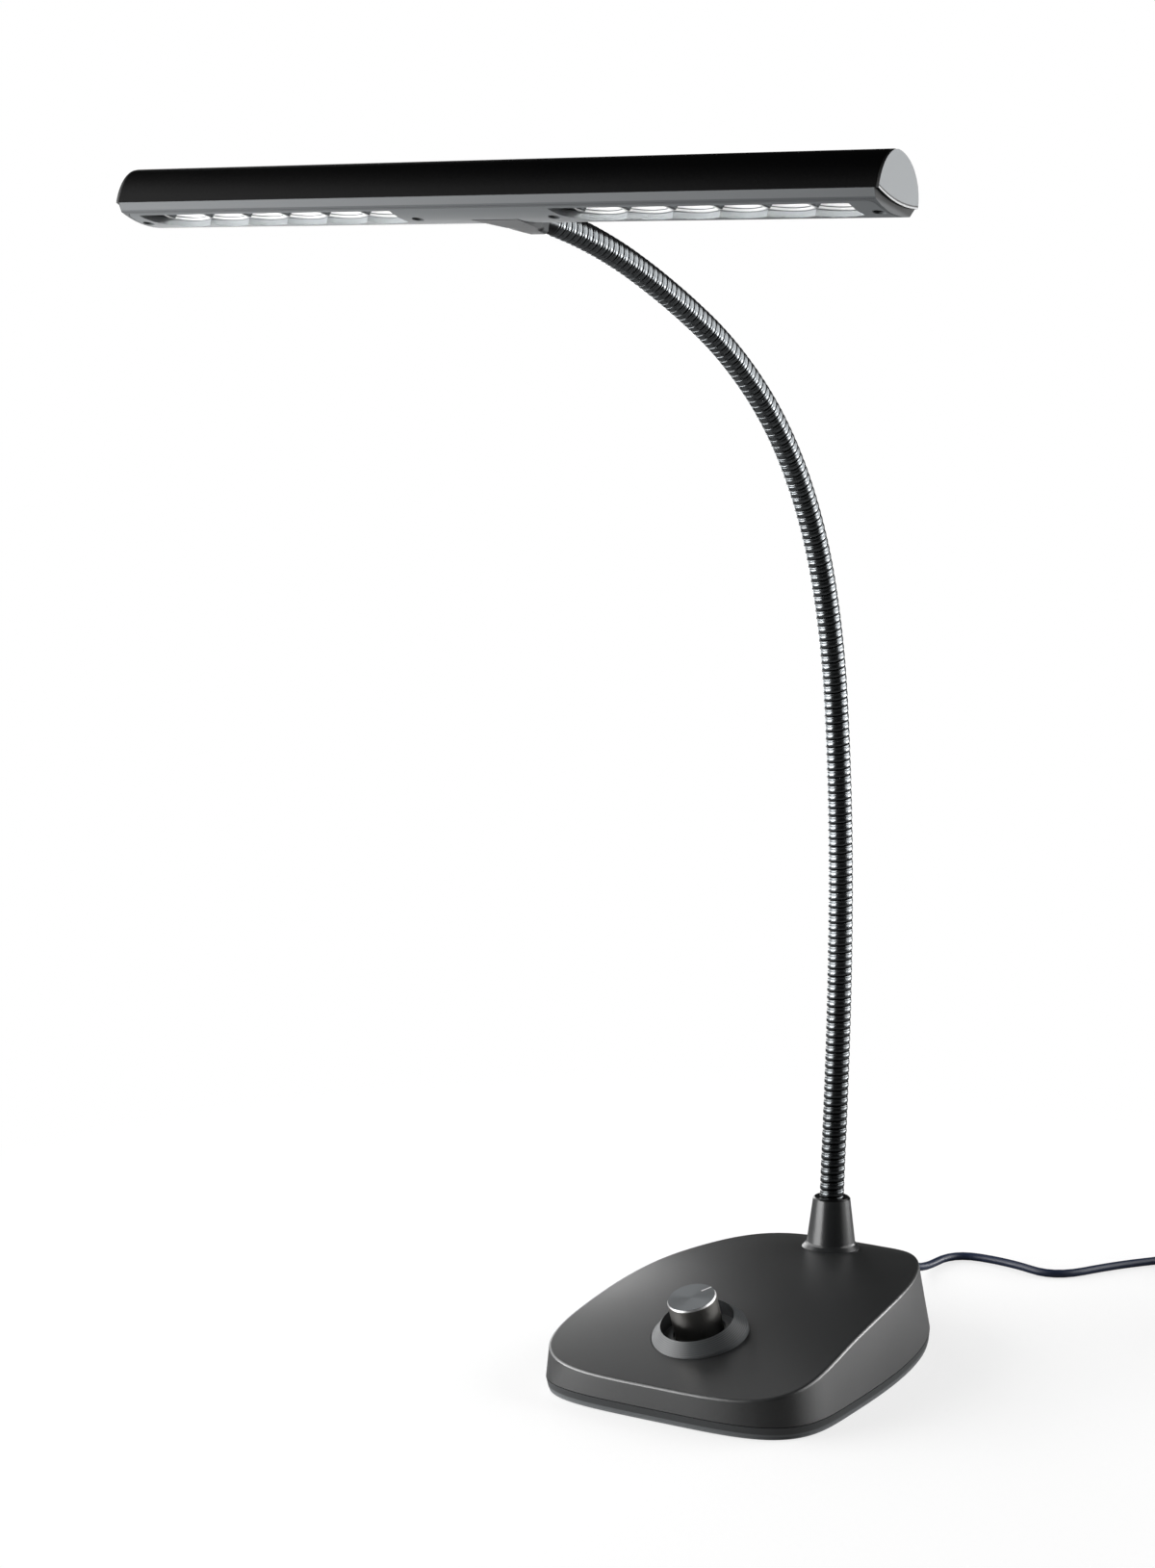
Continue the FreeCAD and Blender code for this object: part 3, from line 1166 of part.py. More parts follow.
LEAD_ROUTE = (
    (0, 50.5, 14.0),
    (-0.8, 68, 12.6),
    (-2.6, 92, 1.75),
    (-2.6, 125, 1.75),
    (25, 125.3, 1.75),
    (51, 114.8, 1.75),
    (66, 147, 1.75),
    (84, 171.5, 1.75),
    (COIL_X - 23.4, COIL_Y + 14.6, CORD_RADIUS),
)
TAIL_ROUTE = (
    COIL_END,
    (COIL_X + 20, COIL_Y + 28, 2.0),
    (COIL_X + 39, COIL_Y + 17, 2.0),
    (COIL_X + 47, COIL_Y - 3, 6.0),
)


def bend_radii(route):
    """The bend radius at each inner point of a route."""
    points = [Vector(*point) for point in route]
    radii = []
    for before, corner, after in zip(points, points[1:], points[2:]):
        half_turn = (math.pi - (before - corner).getAngle(after - corner)) / 2
        trim = 0.45 * min((before - corner).Length, (after - corner).Length)
        radii.append(trim / math.tan(half_turn))
    return radii


def tube_along(route, radius):
    """A round tube of straight runs joined by tangent arcs."""
    points = [Vector(*point) for point in route]
    edges = []
    start = points[0]
    for before, corner, after, bend in zip(points, points[1:], points[2:], bend_radii(route)):
        trim = 0.45 * min((before - corner).Length, (after - corner).Length)
        arc_start = corner + (before - corner).normalize() * trim
        arc_end = corner + (after - corner).normalize() * trim
        bisector = ((arc_start + arc_end) * 0.5 - corner).normalize()
        middle = corner + bisector * (math.hypot(trim, bend) - bend)
        edges.append(Part.LineSegment(start, arc_start).toShape())
        edges.append(Part.Arc(arc_start, middle, arc_end).toShape())
        start = arc_end
    edges.append(Part.LineSegment(start, points[-1]).toShape())
    section = Part.Wire(Part.makeCircle(radius, points[0], points[1] - points[0]))
    return Part.Wire(edges).makePipeShell([section], True, False)


def cord_coil():
    inner = COIL_OUTER_TURN_R - COIL_PITCH * (COIL_TURNS - 1) - CORD_RADIUS
    height = COIL_PITCH * (COIL_LAYERS - 1) + 2 * CORD_RADIUS
    ring = cylinder(COIL_OUTER_TURN_R + CORD_RADIUS, 0, height, COIL_X, COIL_Y)
    return ring.cut(cylinder(inner, -1, height + 1, COIL_X, COIL_Y))


def grommet():
    """The sleeve that leads the cord through the base's back wall."""
    flange_end = -GROMMET_FLANGE
    wall = cord_wall_y - flange_back_y
    reach = LEAD_ROUTE[0][1] - flange_back_y
    profile = (
        (0, flange_end),
        (GROMMET_FLANGE_R, flange_end),
        (GROMMET_FLANGE_R, 0),
        (GROMMET_RADIUS, 0),
        (GROMMET_RADIUS, wall + 1.0),
        (GROMMET_TIP_R, reach),
        (0, reach),
    )
    return along_y(turned(profile), 0, flange_back_y, CORD_EXIT_Z)


def supply_case():
    """The power supply's case, built in line with the cord that runs into it."""
    low_y = SUPPLY_RELIEF_LENGTH
    case = block(-SUPPLY_HALF_WIDTH, SUPPLY_HALF_WIDTH, low_y, low_y + SUPPLY_LENGTH, 0, SUPPLY_HEIGHT)
    return case.makeFillet(SUPPLY_ROUND, case.Edges)


def supply_relief():
    cone = Part.makeCone(GROMMET_TIP_R, SUPPLY_RELIEF_R, SUPPLY_RELIEF_LENGTH)
    return along_y(cone, 0, 0, TAIL_ROUTE[-1][2])


def supply_blades():
    low_y = SUPPLY_RELIEF_LENGTH + SUPPLY_LENGTH
    half = BLADE_THICKNESS / 2
    low_z = (SUPPLY_HEIGHT - BLADE_HEIGHT) / 2
    blades = []
    for x in (-BLADE_SPACING / 2, BLADE_SPACING / 2):
        blades.append(block(x - half, x + half, low_y, low_y + BLADE_LENGTH, low_z, low_z + BLADE_HEIGHT))
    return blades


def build_cord():
    keep("cord_grommet", grommet())
    keep("cord_lead", tube_along(LEAD_ROUTE, CORD_RADIUS))
    keep("cord_coil", cord_coil())
    keep("cord_tail", tube_along(TAIL_ROUTE, CORD_RADIUS))
    for route in (LEAD_ROUTE, TAIL_ROUTE):
        print("cord bend radii", [round(radius, 1) for radius in bend_radii(route)])
    supply_x, supply_y, _ = TAIL_ROUTE[-1]
    supply_frame = Placement(Vector(supply_x, supply_y, 0), Rotation(Vector(0, 0, 1), SUPPLY_TURN))
    keep("supply_relief", placed(supply_relief(), supply_frame))
    keep("supply_case", placed(supply_case(), supply_frame))
    keep("supply_blades", *[placed(blade, supply_frame) for blade in supply_blades()])


build_base()
keep("base_wires", *base_wires())
build_dimmer()
build_board()
build_neck_foot()
build_neck()
build_head()
build_cord()

os.makedirs("parts", exist_ok=True)
for name, shape in nodes.items():
    shape.exportStep(f"parts/{name}.step")
    print(name, len(shape.Solids), "valid" if shape.isValid() else "BROKEN", round(shape.Volume, 1))
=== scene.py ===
import bmesh
import bpy
import json
import math
from mathutils import Matrix, Vector


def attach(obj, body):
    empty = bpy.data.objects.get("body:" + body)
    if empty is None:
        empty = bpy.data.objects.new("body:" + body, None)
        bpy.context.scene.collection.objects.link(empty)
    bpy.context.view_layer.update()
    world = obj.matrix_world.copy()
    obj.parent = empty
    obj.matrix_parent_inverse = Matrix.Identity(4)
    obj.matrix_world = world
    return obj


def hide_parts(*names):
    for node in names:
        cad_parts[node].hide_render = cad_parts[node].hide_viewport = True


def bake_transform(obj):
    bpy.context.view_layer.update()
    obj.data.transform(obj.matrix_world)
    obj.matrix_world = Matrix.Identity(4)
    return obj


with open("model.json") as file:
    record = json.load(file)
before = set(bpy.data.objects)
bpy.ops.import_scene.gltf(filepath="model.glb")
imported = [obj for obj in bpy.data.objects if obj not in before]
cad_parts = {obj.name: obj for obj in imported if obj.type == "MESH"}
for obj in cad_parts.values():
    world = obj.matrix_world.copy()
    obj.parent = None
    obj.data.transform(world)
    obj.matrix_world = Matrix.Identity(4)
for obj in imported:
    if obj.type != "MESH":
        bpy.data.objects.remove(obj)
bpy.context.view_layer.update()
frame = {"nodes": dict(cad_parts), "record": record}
NODES = frame["nodes"]
MM = 0.001

# ---------------------------------------------------------------- places, in millimetres and degrees

NECK_TURN = -5.0
NECK_ROOT = Vector((0, -0.1, 50.05))
NECK_LENGTHS = (30, *[46] * 9, 72)
NECK_LENGTH = sum(NECK_LENGTHS)
NECK_LEANS = (-1.6, -2.9, -1.2, 1.0, 4.4, 7.7, 17.8, 32.8, 49.5, 62.8, 68.7, 83.8)
NECK_END_IN_HEAD = Vector((0.95, 15.3, 2.3))
HEAD_TURN = 3.4
HEAD_ROLL = 0.7
HEAD_TILT = 11.3
HEAD_HALF_LENGTH = 156.4
HEAD_HALF_DEPTH = 13.6
HEAD_SAG = 1.6
PANEL_TOP_Z = -2.1
CELL_PITCH = 17.8
CELL_ROW_LEFTS = (-141.8, 37.2)
KNOB_AT = Vector((0, -109.3, 26.7))
KNOB_TURN = -9.0
KNOB_TILT = 19.7
KNOB_TOP = 15.0
KNOB_CHAMFER = 0.8


def turned(axis, degrees):
    """Rotation about one axis."""
    return Matrix.Rotation(math.radians(degrees), 3, axis)


def arc_run(length, low, turn, share=1.0):
    """The way from the start of an arc to a share of its length, in the plane that the neck bends in."""
    chord = 2 * (length / turn) * math.sin(turn * share / 2)
    mean = low + turn * share / 2
    return Vector((0, -chord * math.sin(mean), chord * math.cos(mean)))


def neck_arcs():
    """Start point, length, start lean and change of lean of each arc of the neck's centre line."""
    arcs = []
    point = NECK_ROOT.copy()
    for length, lean, next_lean in zip(NECK_LENGTHS, NECK_LEANS, NECK_LEANS[1:]):
        low = math.radians(lean)
        turn = math.radians(next_lean - lean)
        arcs.append((point.copy(), length, low, turn))
        point += arc_run(length, low, turn)
    return arcs


NECK_ARCS = neck_arcs()
NECK_FRAME = turned("Z", NECK_TURN)


def neck_at(distance):
    """Point, sideways direction and outward direction of the neck's centre line."""
    arc = 0
    while arc < len(NECK_ARCS) - 1 and distance > NECK_LENGTHS[arc]:
        distance -= NECK_LENGTHS[arc]
        arc += 1
    start, length, low, turn = NECK_ARCS[arc]
    share = distance / length
    at = start + arc_run(length, low, turn, share)
    lean = low + turn * share
    out = Vector((0, math.cos(lean), math.sin(lean)))
    return NECK_FRAME @ at, NECK_FRAME @ Vector((1, 0, 0)), NECK_FRAME @ out


HEAD_FRAME = NECK_FRAME @ turned("Z", HEAD_TURN) @ turned("Y", HEAD_ROLL) @ turned("X", -HEAD_TILT)
HEAD_AT = neck_at(NECK_LENGTH)[0] - HEAD_FRAME @ NECK_END_IN_HEAD
KNOB_FRAME = turned("Z", KNOB_TURN) @ turned("X", KNOB_TILT)

# ---------------------------------------------------------------- camera

CAMERA_AT = Vector((0.57309, -1.11830, 0.38288))
CAMERA_TURN = math.radians(31.99)
CAMERA_DIP = math.radians(7.12)
CAMERA_ROLL = math.radians(0.448)
LENS = 71.27
SENSOR_HEIGHT = 36
CLIP_END = 50


def add_camera():
    """A long lens in front of the lamp and to its right, a little below the head."""
    camera = bpy.data.objects.new("camera", bpy.data.cameras.new("camera"))
    right = Vector((math.cos(CAMERA_TURN), math.sin(CAMERA_TURN), 0))
    flat = math.cos(CAMERA_DIP)
    ahead = Vector((-math.sin(CAMERA_TURN) * flat, math.cos(CAMERA_TURN) * flat, -math.sin(CAMERA_DIP)))
    up = right.cross(ahead)
    rolled_right = right * math.cos(CAMERA_ROLL) + up * math.sin(CAMERA_ROLL)
    rolled_up = up * math.cos(CAMERA_ROLL) - right * math.sin(CAMERA_ROLL)
    turn = Matrix((rolled_right, rolled_up, -ahead)).transposed()
    camera.matrix_world = Matrix.Translation(CAMERA_AT) @ turn.to_4x4()
    camera.data.sensor_fit = "VERTICAL"
    camera.data.sensor_height = SENSOR_HEIGHT
    camera.data.lens = LENS
    camera.data.clip_end = CLIP_END
    bpy.context.scene.collection.objects.link(camera)
    bpy.context.scene.camera = camera


# ---------------------------------------------------------------- lights, world and floor, in metres

# Each soft box: name, place, the point it shines at, width, height and power in watts.
SOFT_BOXES = (
    ("left", (-0.85, -0.53, 0.5), (0, 0, 0.3), 1.6, 1.0, 18),
    ("right", (0.85, 0.53, 0.5), (0, 0, 0.3), 1.3, 1.0, 13),
    ("low left", (-0.62, -0.66, 0.1), (0, 0, 0.02), 0.7, 0.18, 7.2),
    ("low right", (0.54, 0.60, 0.1), (0, 0, 0.02), 0.6, 0.18, 4.3),
    ("behind left", (-0.57, 0.28, 0.2), (0, -0.07, 0.02), 0.5, 0.3, 1.9),
    ("above", (-0.45, 0.26, 0.6), (0, -0.1, 0.03), 0.3, 0.3, 0.3),
)
SKY_GLOW = 0.03
WHITE = (1, 1, 1, 1)
FLOOR_RADIUS = 6.0
FLOOR_SIDES = 64
FLOOR_Z = -0.0003
GLOW_NEAR = 0.12
GLOW_FAR = 0.5
GLOW_LEAST = 0.7
PALE_NEAR = 0.15
PALE_FAR = 0.6
PALE = 0.25
DARK = 0.03


def add_soft_box(name, at, aim, width, height, power):
    """An area light that the camera doesn't see."""
    light = bpy.data.lights.new(name, "AREA")
    light.shape = "RECTANGLE"
    light.size = width
    light.size_y = height
    light.energy = power
    thing = bpy.data.objects.new(name, light)
    thing.location = at
    thing.rotation_euler = (Vector(aim) - Vector(at)).to_track_quat("-Z", "Y").to_euler()
    thing.visible_camera = False
    bpy.context.scene.collection.objects.link(thing)


def math_node(tree, operation, first, second=None, third=None):
    """Output of a Math node whose inputs are numbers or other nodes' outputs."""
    node = tree.nodes.new("ShaderNodeMath")
    node.operation = operation
    for socket, value in zip(node.inputs, (first, second, third)):
        if isinstance(value, (int, float)):
            socket.default_value = value
        elif value is not None:
            tree.links.new(value, socket)
    return node.outputs[0]


def smooth_step(tree, value, start, end, low=0.0, high=1.0):
    """Output that goes smoothly from low to high while a value goes from start to end."""
    node = tree.nodes.new("ShaderNodeMapRange")
    node.interpolation_type = "SMOOTHSTEP"
    node.inputs["From Min"].default_value = start
    node.inputs["From Max"].default_value = end
    node.inputs["To Min"].default_value = low
    node.inputs["To Max"].default_value = high
    tree.links.new(value, node.inputs["Value"])
    return node.outputs["Result"]


def add_world():
    """White for the camera. Nearly dark for light and reflections, so that the soft boxes shape the lamp."""
    world = bpy.data.worlds.new("studio")
    bpy.context.scene.world = world
    world.use_nodes = True
    nodes, links = world.node_tree.nodes, world.node_tree.links
    nodes.clear()
    out = nodes.new("ShaderNodeOutputWorld")
    mix = nodes.new("ShaderNodeMixShader")
    path = nodes.new("ShaderNodeLightPath")
    links.new(path.outputs["Is Camera Ray"], mix.inputs[0])
    for socket, strength in ((mix.inputs[1], SKY_GLOW), (mix.inputs[2], 1.0)):
        background = nodes.new("ShaderNodeBackground")
        background.inputs["Color"].default_value = WHITE
        background.inputs["Strength"].default_value = strength
        links.new(background.outputs[0], socket)
    links.new(mix.outputs[0], out.inputs[0])


def floor_material():
    """White to the camera except for soft shadows near the lamp. Further away it reflects little light."""
    material = bpy.data.materials.new("floor")
    material.use_nodes = True
    tree = material.node_tree
    nodes, links = tree.nodes, tree.links
    shader = nodes["Principled BSDF"]
    shader.inputs["Roughness"].default_value = 0.8
    shader.inputs["Specular IOR Level"].default_value = 0.1
    glow = nodes.new("ShaderNodeEmission")
    seen = nodes.new("ShaderNodeLightPath").outputs["Is Camera Ray"]
    mix = nodes.new("ShaderNodeMixShader")
    place = nodes.new("ShaderNodeTexCoord")
    reach = nodes.new("ShaderNodeVectorMath")
    reach.operation = "LENGTH"
    links.new(place.outputs["Object"], reach.inputs[0])
    fade = smooth_step(tree, reach.outputs["Value"], GLOW_NEAR, GLOW_FAR, GLOW_LEAST)
    pale = smooth_step(tree, reach.outputs["Value"], PALE_NEAR, PALE_FAR, PALE, DARK)
    links.new(math_node(tree, "MAXIMUM", pale, seen), shader.inputs["Base Color"])
    links.new(math_node(tree, "MULTIPLY", seen, fade), mix.inputs[0])
    links.new(shader.outputs[0], mix.inputs[1])
    links.new(glow.outputs[0], mix.inputs[2])
    links.new(mix.outputs[0], nodes["Material Output"].inputs[0])
    return material


def add_floor():
    """A wide round floor just under the lamp."""
    bm = bmesh.new()
    bmesh.ops.create_circle(bm, cap_ends=True, radius=FLOOR_RADIUS, segments=FLOOR_SIDES)
    mesh = bpy.data.meshes.new("floor")
    bm.to_mesh(mesh)
    bm.free()
    floor = bpy.data.objects.new("floor", mesh)
    floor.location.z = FLOOR_Z
    bpy.context.scene.collection.objects.link(floor)
    mesh.materials.append(floor_material())


# ---------------------------------------------------------------- finishes

FINE_GRAIN = 900.0
COARSE_GRAIN = 300.0
CLOUD_SCALE = 30.0
RELIEF_DEPTH = 0.0002
LED_GLOW = 80.0
FINISH = {}


def surface_group():
    """Shared values for every finish: a fine grain and a slow cloud."""
    group = bpy.data.node_groups.new("surface_detail", "ShaderNodeTree")
    group.interface.new_socket("Vector", in_out="INPUT", socket_type="NodeSocketVector")
    nodes, links = group.nodes, group.links
    source = nodes.new("NodeGroupInput")
    result = nodes.new("NodeGroupOutput")
    for name, fineness in (("Grain", 3), ("Cloud", 4)):
        group.interface.new_socket(f"{name} scale", in_out="INPUT", socket_type="NodeSocketFloat")
        group.interface.new_socket(name, in_out="OUTPUT", socket_type="NodeSocketFloat")
        noise = nodes.new("ShaderNodeTexNoise")
        noise.inputs["Detail"].default_value = fineness
        links.new(source.outputs["Vector"], noise.inputs["Vector"])
        links.new(source.outputs[f"{name} scale"], noise.inputs["Scale"])
        links.new(noise.outputs["Fac"], result.inputs[name])
    return group


DETAIL = surface_group()


def finish(name, low, high, rough, metal=0.0, grain=FINE_GRAIN, bump=0.05, specular=0.5, anisotropic=0.0):
    """A finish whose colour and gloss drift slowly and whose surface has a fine grain."""
    material = bpy.data.materials.new(name)
    material.use_nodes = True
    nodes, links = material.node_tree.nodes, material.node_tree.links
    shader = nodes["Principled BSDF"]
    place = nodes.new("ShaderNodeTexCoord")
    detail = nodes.new("ShaderNodeGroup")
    detail.name = "detail"
    detail.node_tree = DETAIL
    detail.inputs["Grain scale"].default_value = grain
    detail.inputs["Cloud scale"].default_value = CLOUD_SCALE
    links.new(place.outputs["Object"], detail.inputs["Vector"])
    colour = nodes.new("ShaderNodeMix")
    colour.data_type = "RGBA"
    colour.name = "colour"
    colour.inputs["A"].default_value = (*low, 1)
    colour.inputs["B"].default_value = (*high, 1)
    links.new(detail.outputs["Cloud"], colour.inputs["Factor"])
    links.new(colour.outputs["Result"], shader.inputs["Base Color"])
    gloss = nodes.new("ShaderNodeMapRange")
    gloss.inputs["To Min"].default_value = rough[0]
    gloss.inputs["To Max"].default_value = rough[1]
    links.new(detail.outputs["Cloud"], gloss.inputs["Value"])
    links.new(gloss.outputs["Result"], shader.inputs["Roughness"])
    relief = nodes.new("ShaderNodeBump")
    relief.name = "relief"
    relief.inputs["Strength"].default_value = bump
    relief.inputs["Distance"].default_value = RELIEF_DEPTH
    links.new(detail.outputs["Grain"], relief.inputs["Height"])
    links.new(relief.outputs["Normal"], shader.inputs["Normal"])
    shader.inputs["Metallic"].default_value = metal
    shader.inputs["Specular IOR Level"].default_value = specular
    shader.inputs["Anisotropic"].default_value = anisotropic
    FINISH[name] = material


def grey(value):
    """A neutral grey."""
    return (value, value, value)


def cool(value):
    """A grey with the slight cool tint of the lamp's plastics."""
    return (value * 0.93, value * 0.99, value * 1.03)


def base_finishes():
    finish("base_black", cool(0.008), cool(0.012), (0.38, 0.43), bump=0.1, specular=0.9)
    finish("pad_rubber", cool(0.08), cool(0.11), (0.7, 0.85), bump=0.2)
    rusty = (0.13, 0.12, 0.11)
    finish("ballast_iron", grey(0.05), rusty, (0.5, 0.7), metal=0.8, grain=COARSE_GRAIN, bump=0.5)
    finish("screw_steel", (0.45, 0.45, 0.46), grey(0.6), (0.25, 0.4), metal=1.0)
    finish("screw_black", grey(0.004), grey(0.007), (0.4, 0.5), specular=0.2)
    finish("wire_black", grey(0.012), grey(0.02), (0.45, 0.6))
    finish("ferrule_black", cool(0.012), cool(0.018), (0.26, 0.32), bump=0.06, specular=0.45)
    finish("neck_steel", cool(0.15), cool(0.19), (0.2, 0.28), metal=1.0, bump=0.03)


def dimmer_finishes():
    finish("dish_metal", cool(0.025), cool(0.035), (0.34, 0.4), bump=0.03, specular=0.4)
    finish("knob_metal", cool(0.14), cool(0.2), (0.28, 0.36), metal=1.0, anisotropic=0.8)
    finish("control_steel", grey(0.4), grey(0.55), (0.3, 0.45), metal=1.0)
    finish("pin_metal", (0.6, 0.5, 0.25), (0.7, 0.6, 0.3), (0.25, 0.4), metal=1.0)
    finish("board_green", (0.01, 0.08, 0.03), (0.02, 0.14, 0.06), (0.3, 0.4))
    finish("component_black", grey(0.015), grey(0.03), (0.4, 0.6))


def cord_finishes():
    finish("cord_rubber", (0.006, 0.012, 0.034), (0.010, 0.018, 0.046), (0.38, 0.5))
    finish("supply_black", grey(0.012), grey(0.02), (0.4, 0.5), bump=0.2)
    finish("blade_brass", (0.6, 0.45, 0.2), (0.75, 0.6, 0.3), (0.2, 0.3), metal=1.0)


def head_finishes():
    deep = (0.0005, 0.0005, 0.0006)
    finish("head_black", deep, (0.001, 0.001, 0.0011), (0.42, 0.5), bump=0.2, specular=0.06)
    finish("tray_grey", cool(0.12), cool(0.14), (0.5, 0.6), bump=0.1, specular=0.25)
    finish("panel_grey", cool(0.17), cool(0.20), (0.5, 0.6), bump=0.1, specular=0.3)
    finish("bracket_grey", cool(0.06), cool(0.075), (0.5, 0.6), bump=0.1, specular=0.3)
    finish("cap_grey", cool(0.33), cool(0.36), (0.45, 0.55), bump=0.1)
    finish("reflector_white", grey(0.8), grey(0.86), (0.2, 0.3), metal=0.2)
    finish("led_board_white", grey(0.7), grey(0.78), (0.3, 0.4))
    finish("led_yellow", (0.8, 0.8, 0.75), (0.85, 0.85, 0.8), (0.3, 0.4))
    shader = FINISH["led_yellow"].node_tree.nodes["Principled BSDF"]
    shader.inputs["Emission Color"].default_value = (1, 1, 0.98, 1)
    shader.inputs["Emission Strength"].default_value = LED_GLOW


# ---------------------------------------------------------------- marks in a finish, in millimetres


def place_group(name, at, turn):
    """Turns object coordinates into the coordinates of one assembly."""
    group = bpy.data.node_groups.new(name, "ShaderNodeTree")
    group.interface.new_socket("Vector", in_out="INPUT", socket_type="NodeSocketVector")
    nodes, links = group.nodes, group.links
    source = nodes.new("NodeGroupInput")
    result = nodes.new("NodeGroupOutput")
    shift = nodes.new("ShaderNodeVectorMath")
    shift.operation = "SUBTRACT"
    shift.inputs[1].default_value = at * MM
    links.new(source.outputs["Vector"], shift.inputs[0])
    for k, axis in enumerate("XYZ"):
        group.interface.new_socket(axis, in_out="OUTPUT", socket_type="NodeSocketFloat")
        along = nodes.new("ShaderNodeVectorMath")
        along.operation = "DOT_PRODUCT"
        along.inputs[1].default_value = turn.col[k] / MM
        links.new(shift.outputs[0], along.inputs[0])
        links.new(along.outputs["Value"], result.inputs[axis])
    return group


HEAD_PLACE = place_group("head_place", HEAD_AT, HEAD_FRAME)
KNOB_PLACE = place_group("knob_place", KNOB_AT, KNOB_FRAME)
SOFT_EDGE = 0.1
SHARP_EDGE = 0.05
FINE_EDGE = 0.03
LINE_BLUR = 0.2


class Marks:
    """Paints marks over one finish. A mask is 1 where its mark shows and 0 elsewhere."""

    def __init__(self, slot):
        self.tree = FINISH[slot].node_tree
        self.nodes, self.links = self.tree.nodes, self.tree.links
        self.shader = self.nodes["Principled BSDF"]
        self.point = self.nodes["Texture Coordinate"].outputs["Object"]
        self.colour = self.nodes["colour"].outputs["Result"]

    def axes(self, place):
        """X, Y and Z in the coordinates of one assembly."""
        group = self.nodes.new("ShaderNodeGroup")
        group.node_tree = place
        self.links.new(self.point, group.inputs[0])
        return [group.outputs[axis] for axis in "XYZ"]

    def height(self):
        """Height above the table."""
        split = self.nodes.new("ShaderNodeSeparateXYZ")
        self.links.new(self.point, split.inputs[0])
        return self.math("DIVIDE", split.outputs["Z"], MM)

    def math(self, operation, *values):
        return math_node(self.tree, operation, *values)

    def reach(self, x, y):
        """Distance from the point where both coordinates are 0."""
        return self.math("SQRT", self.math("MULTIPLY_ADD", x, x, self.math("MULTIPLY", y, y)))

    def below(self, value, edge, soft=SOFT_EDGE):
        """Mask of what lies below an edge, blurred by so much on each side of it."""
        return smooth_step(self.tree, value, edge + soft, edge - soft)

    def above(self, value, edge, soft=SOFT_EDGE):
        """Mask of what lies above an edge, blurred by so much on each side of it."""
        return smooth_step(self.tree, value, edge - soft, edge + soft)

    def both(self, first, second):
        """Mask of what lies in two masks."""
        return self.math("MULTIPLY", first, second)

    def line(self, x, y, start, end, radius):
        """Mask around the straight line between two points."""
        run = (end[0] - start[0], end[1] - start[1])
        square = run[0] ** 2 + run[1] ** 2
        from_x = self.math("SUBTRACT", x, start[0])
        from_y = self.math("SUBTRACT", y, start[1])
        share = self.math("MULTIPLY", from_x, run[0] / square)
        share = self.math("MULTIPLY_ADD", from_y, run[1] / square, share)
        share = self.math("MINIMUM", self.math("MAXIMUM", share, 0.0), 1.0)
        off_x = self.math("MULTIPLY_ADD", share, -run[0], from_x)
        off_y = self.math("MULTIPLY_ADD", share, -run[1], from_y)
        return self.below(self.reach(off_x, off_y), radius, radius * LINE_BLUR)

    def paint(self, mask, colour):
        """Blends the finish's colour so far towards another one."""
        node = self.nodes.new("ShaderNodeMix")
        node.data_type = "RGBA"
        node.inputs["B"].default_value = (*colour, 1)
        self.links.new(mask, node.inputs["Factor"])
        self.links.new(self.colour, node.inputs["A"])
        self.colour = node.outputs["Result"]
        self.links.new(self.colour, self.shader.inputs["Base Color"])


CAP_LINE_HEIGHT = 1.05
CAP_LIP_HEIGHT = 0.55
CAP_FACE_DEPTH = 0.07


def mark_caps():
    """The rim of each end cap is black, and its flat face has a lip and a line along its lower edge."""
    marks = Marks("cap_grey")
    x, y, z = marks.axes(HEAD_PLACE)
    sag = marks.math("MULTIPLY", y, y)
    sag = marks.math("MULTIPLY_ADD", sag, HEAD_SAG / HEAD_HALF_DEPTH**2, -HEAD_SAG)
    height = marks.math("SUBTRACT", z, sag)
    marks.paint(marks.below(height, CAP_LINE_HEIGHT), grey(0.01))
    marks.paint(marks.below(height, CAP_LIP_HEIGHT), (0.75, 0.76, 0.77))
    end = marks.math("ABSOLUTE", x)
    marks.paint(marks.below(end, HEAD_HALF_LENGTH - CAP_FACE_DEPTH, FINE_EDGE), grey(0.004))


TRAY_LINE_Y = -11.45
TRAY_LINE_Z = -2.45
TRAY_LINE_BLUR = 0.15
TRAY_END_X = 154.8


def mark_tray():
    """A dark line where the tray meets the panel, and darker ends."""
    marks = Marks("tray_grey")
    x, y, z = marks.axes(HEAD_PLACE)
    low = marks.below(z, TRAY_LINE_Z, TRAY_LINE_BLUR)
    front = marks.below(y, TRAY_LINE_Y, TRAY_LINE_BLUR)
    marks.paint(marks.both(low, front), (0.06, 0.065, 0.07))
    marks.paint(marks.above(marks.math("ABSOLUTE", x), TRAY_END_X), (0.012, 0.013, 0.014))


# Each spot of painted shade: start, end and radius. The slot comes first, then the two small holes and the
# dimple.
BRACKET_SHADE_SPOTS = (
    ((0.2, 14.6), (4.2, 21.6), 0.5),
    ((-0.5, 6.8), (-0.3, 6.8), 0.4),
    ((10.3, 7.4), (10.5, 7.4), 0.4),
    ((10.6, 17.0), (11.2, 18.0), 0.9),
)
BRACKET_FACE_Z = -3.1


def mark_bracket():
    """Painted shade in the bracket's lower face: dark spots in the slot, the two small holes and the dimple.
    """
    marks = Marks("bracket_grey")
    x, y, z = marks.axes(HEAD_PLACE)
    face = marks.below(z, BRACKET_FACE_Z)
    for start, end, radius in BRACKET_SHADE_SPOTS:
        # Painted shade: each recess is painted near black.
        marks.paint(marks.both(marks.line(x, y, start, end, radius), face), grey(0.004))


POINTER_START = (1.3, 5.2)
POINTER_END = (3.2, 8.6)
POINTER_RADIUS = 0.35
POINTER_DEPTH = 0.15
KNOB_EDGE_DEPTH = 0.11


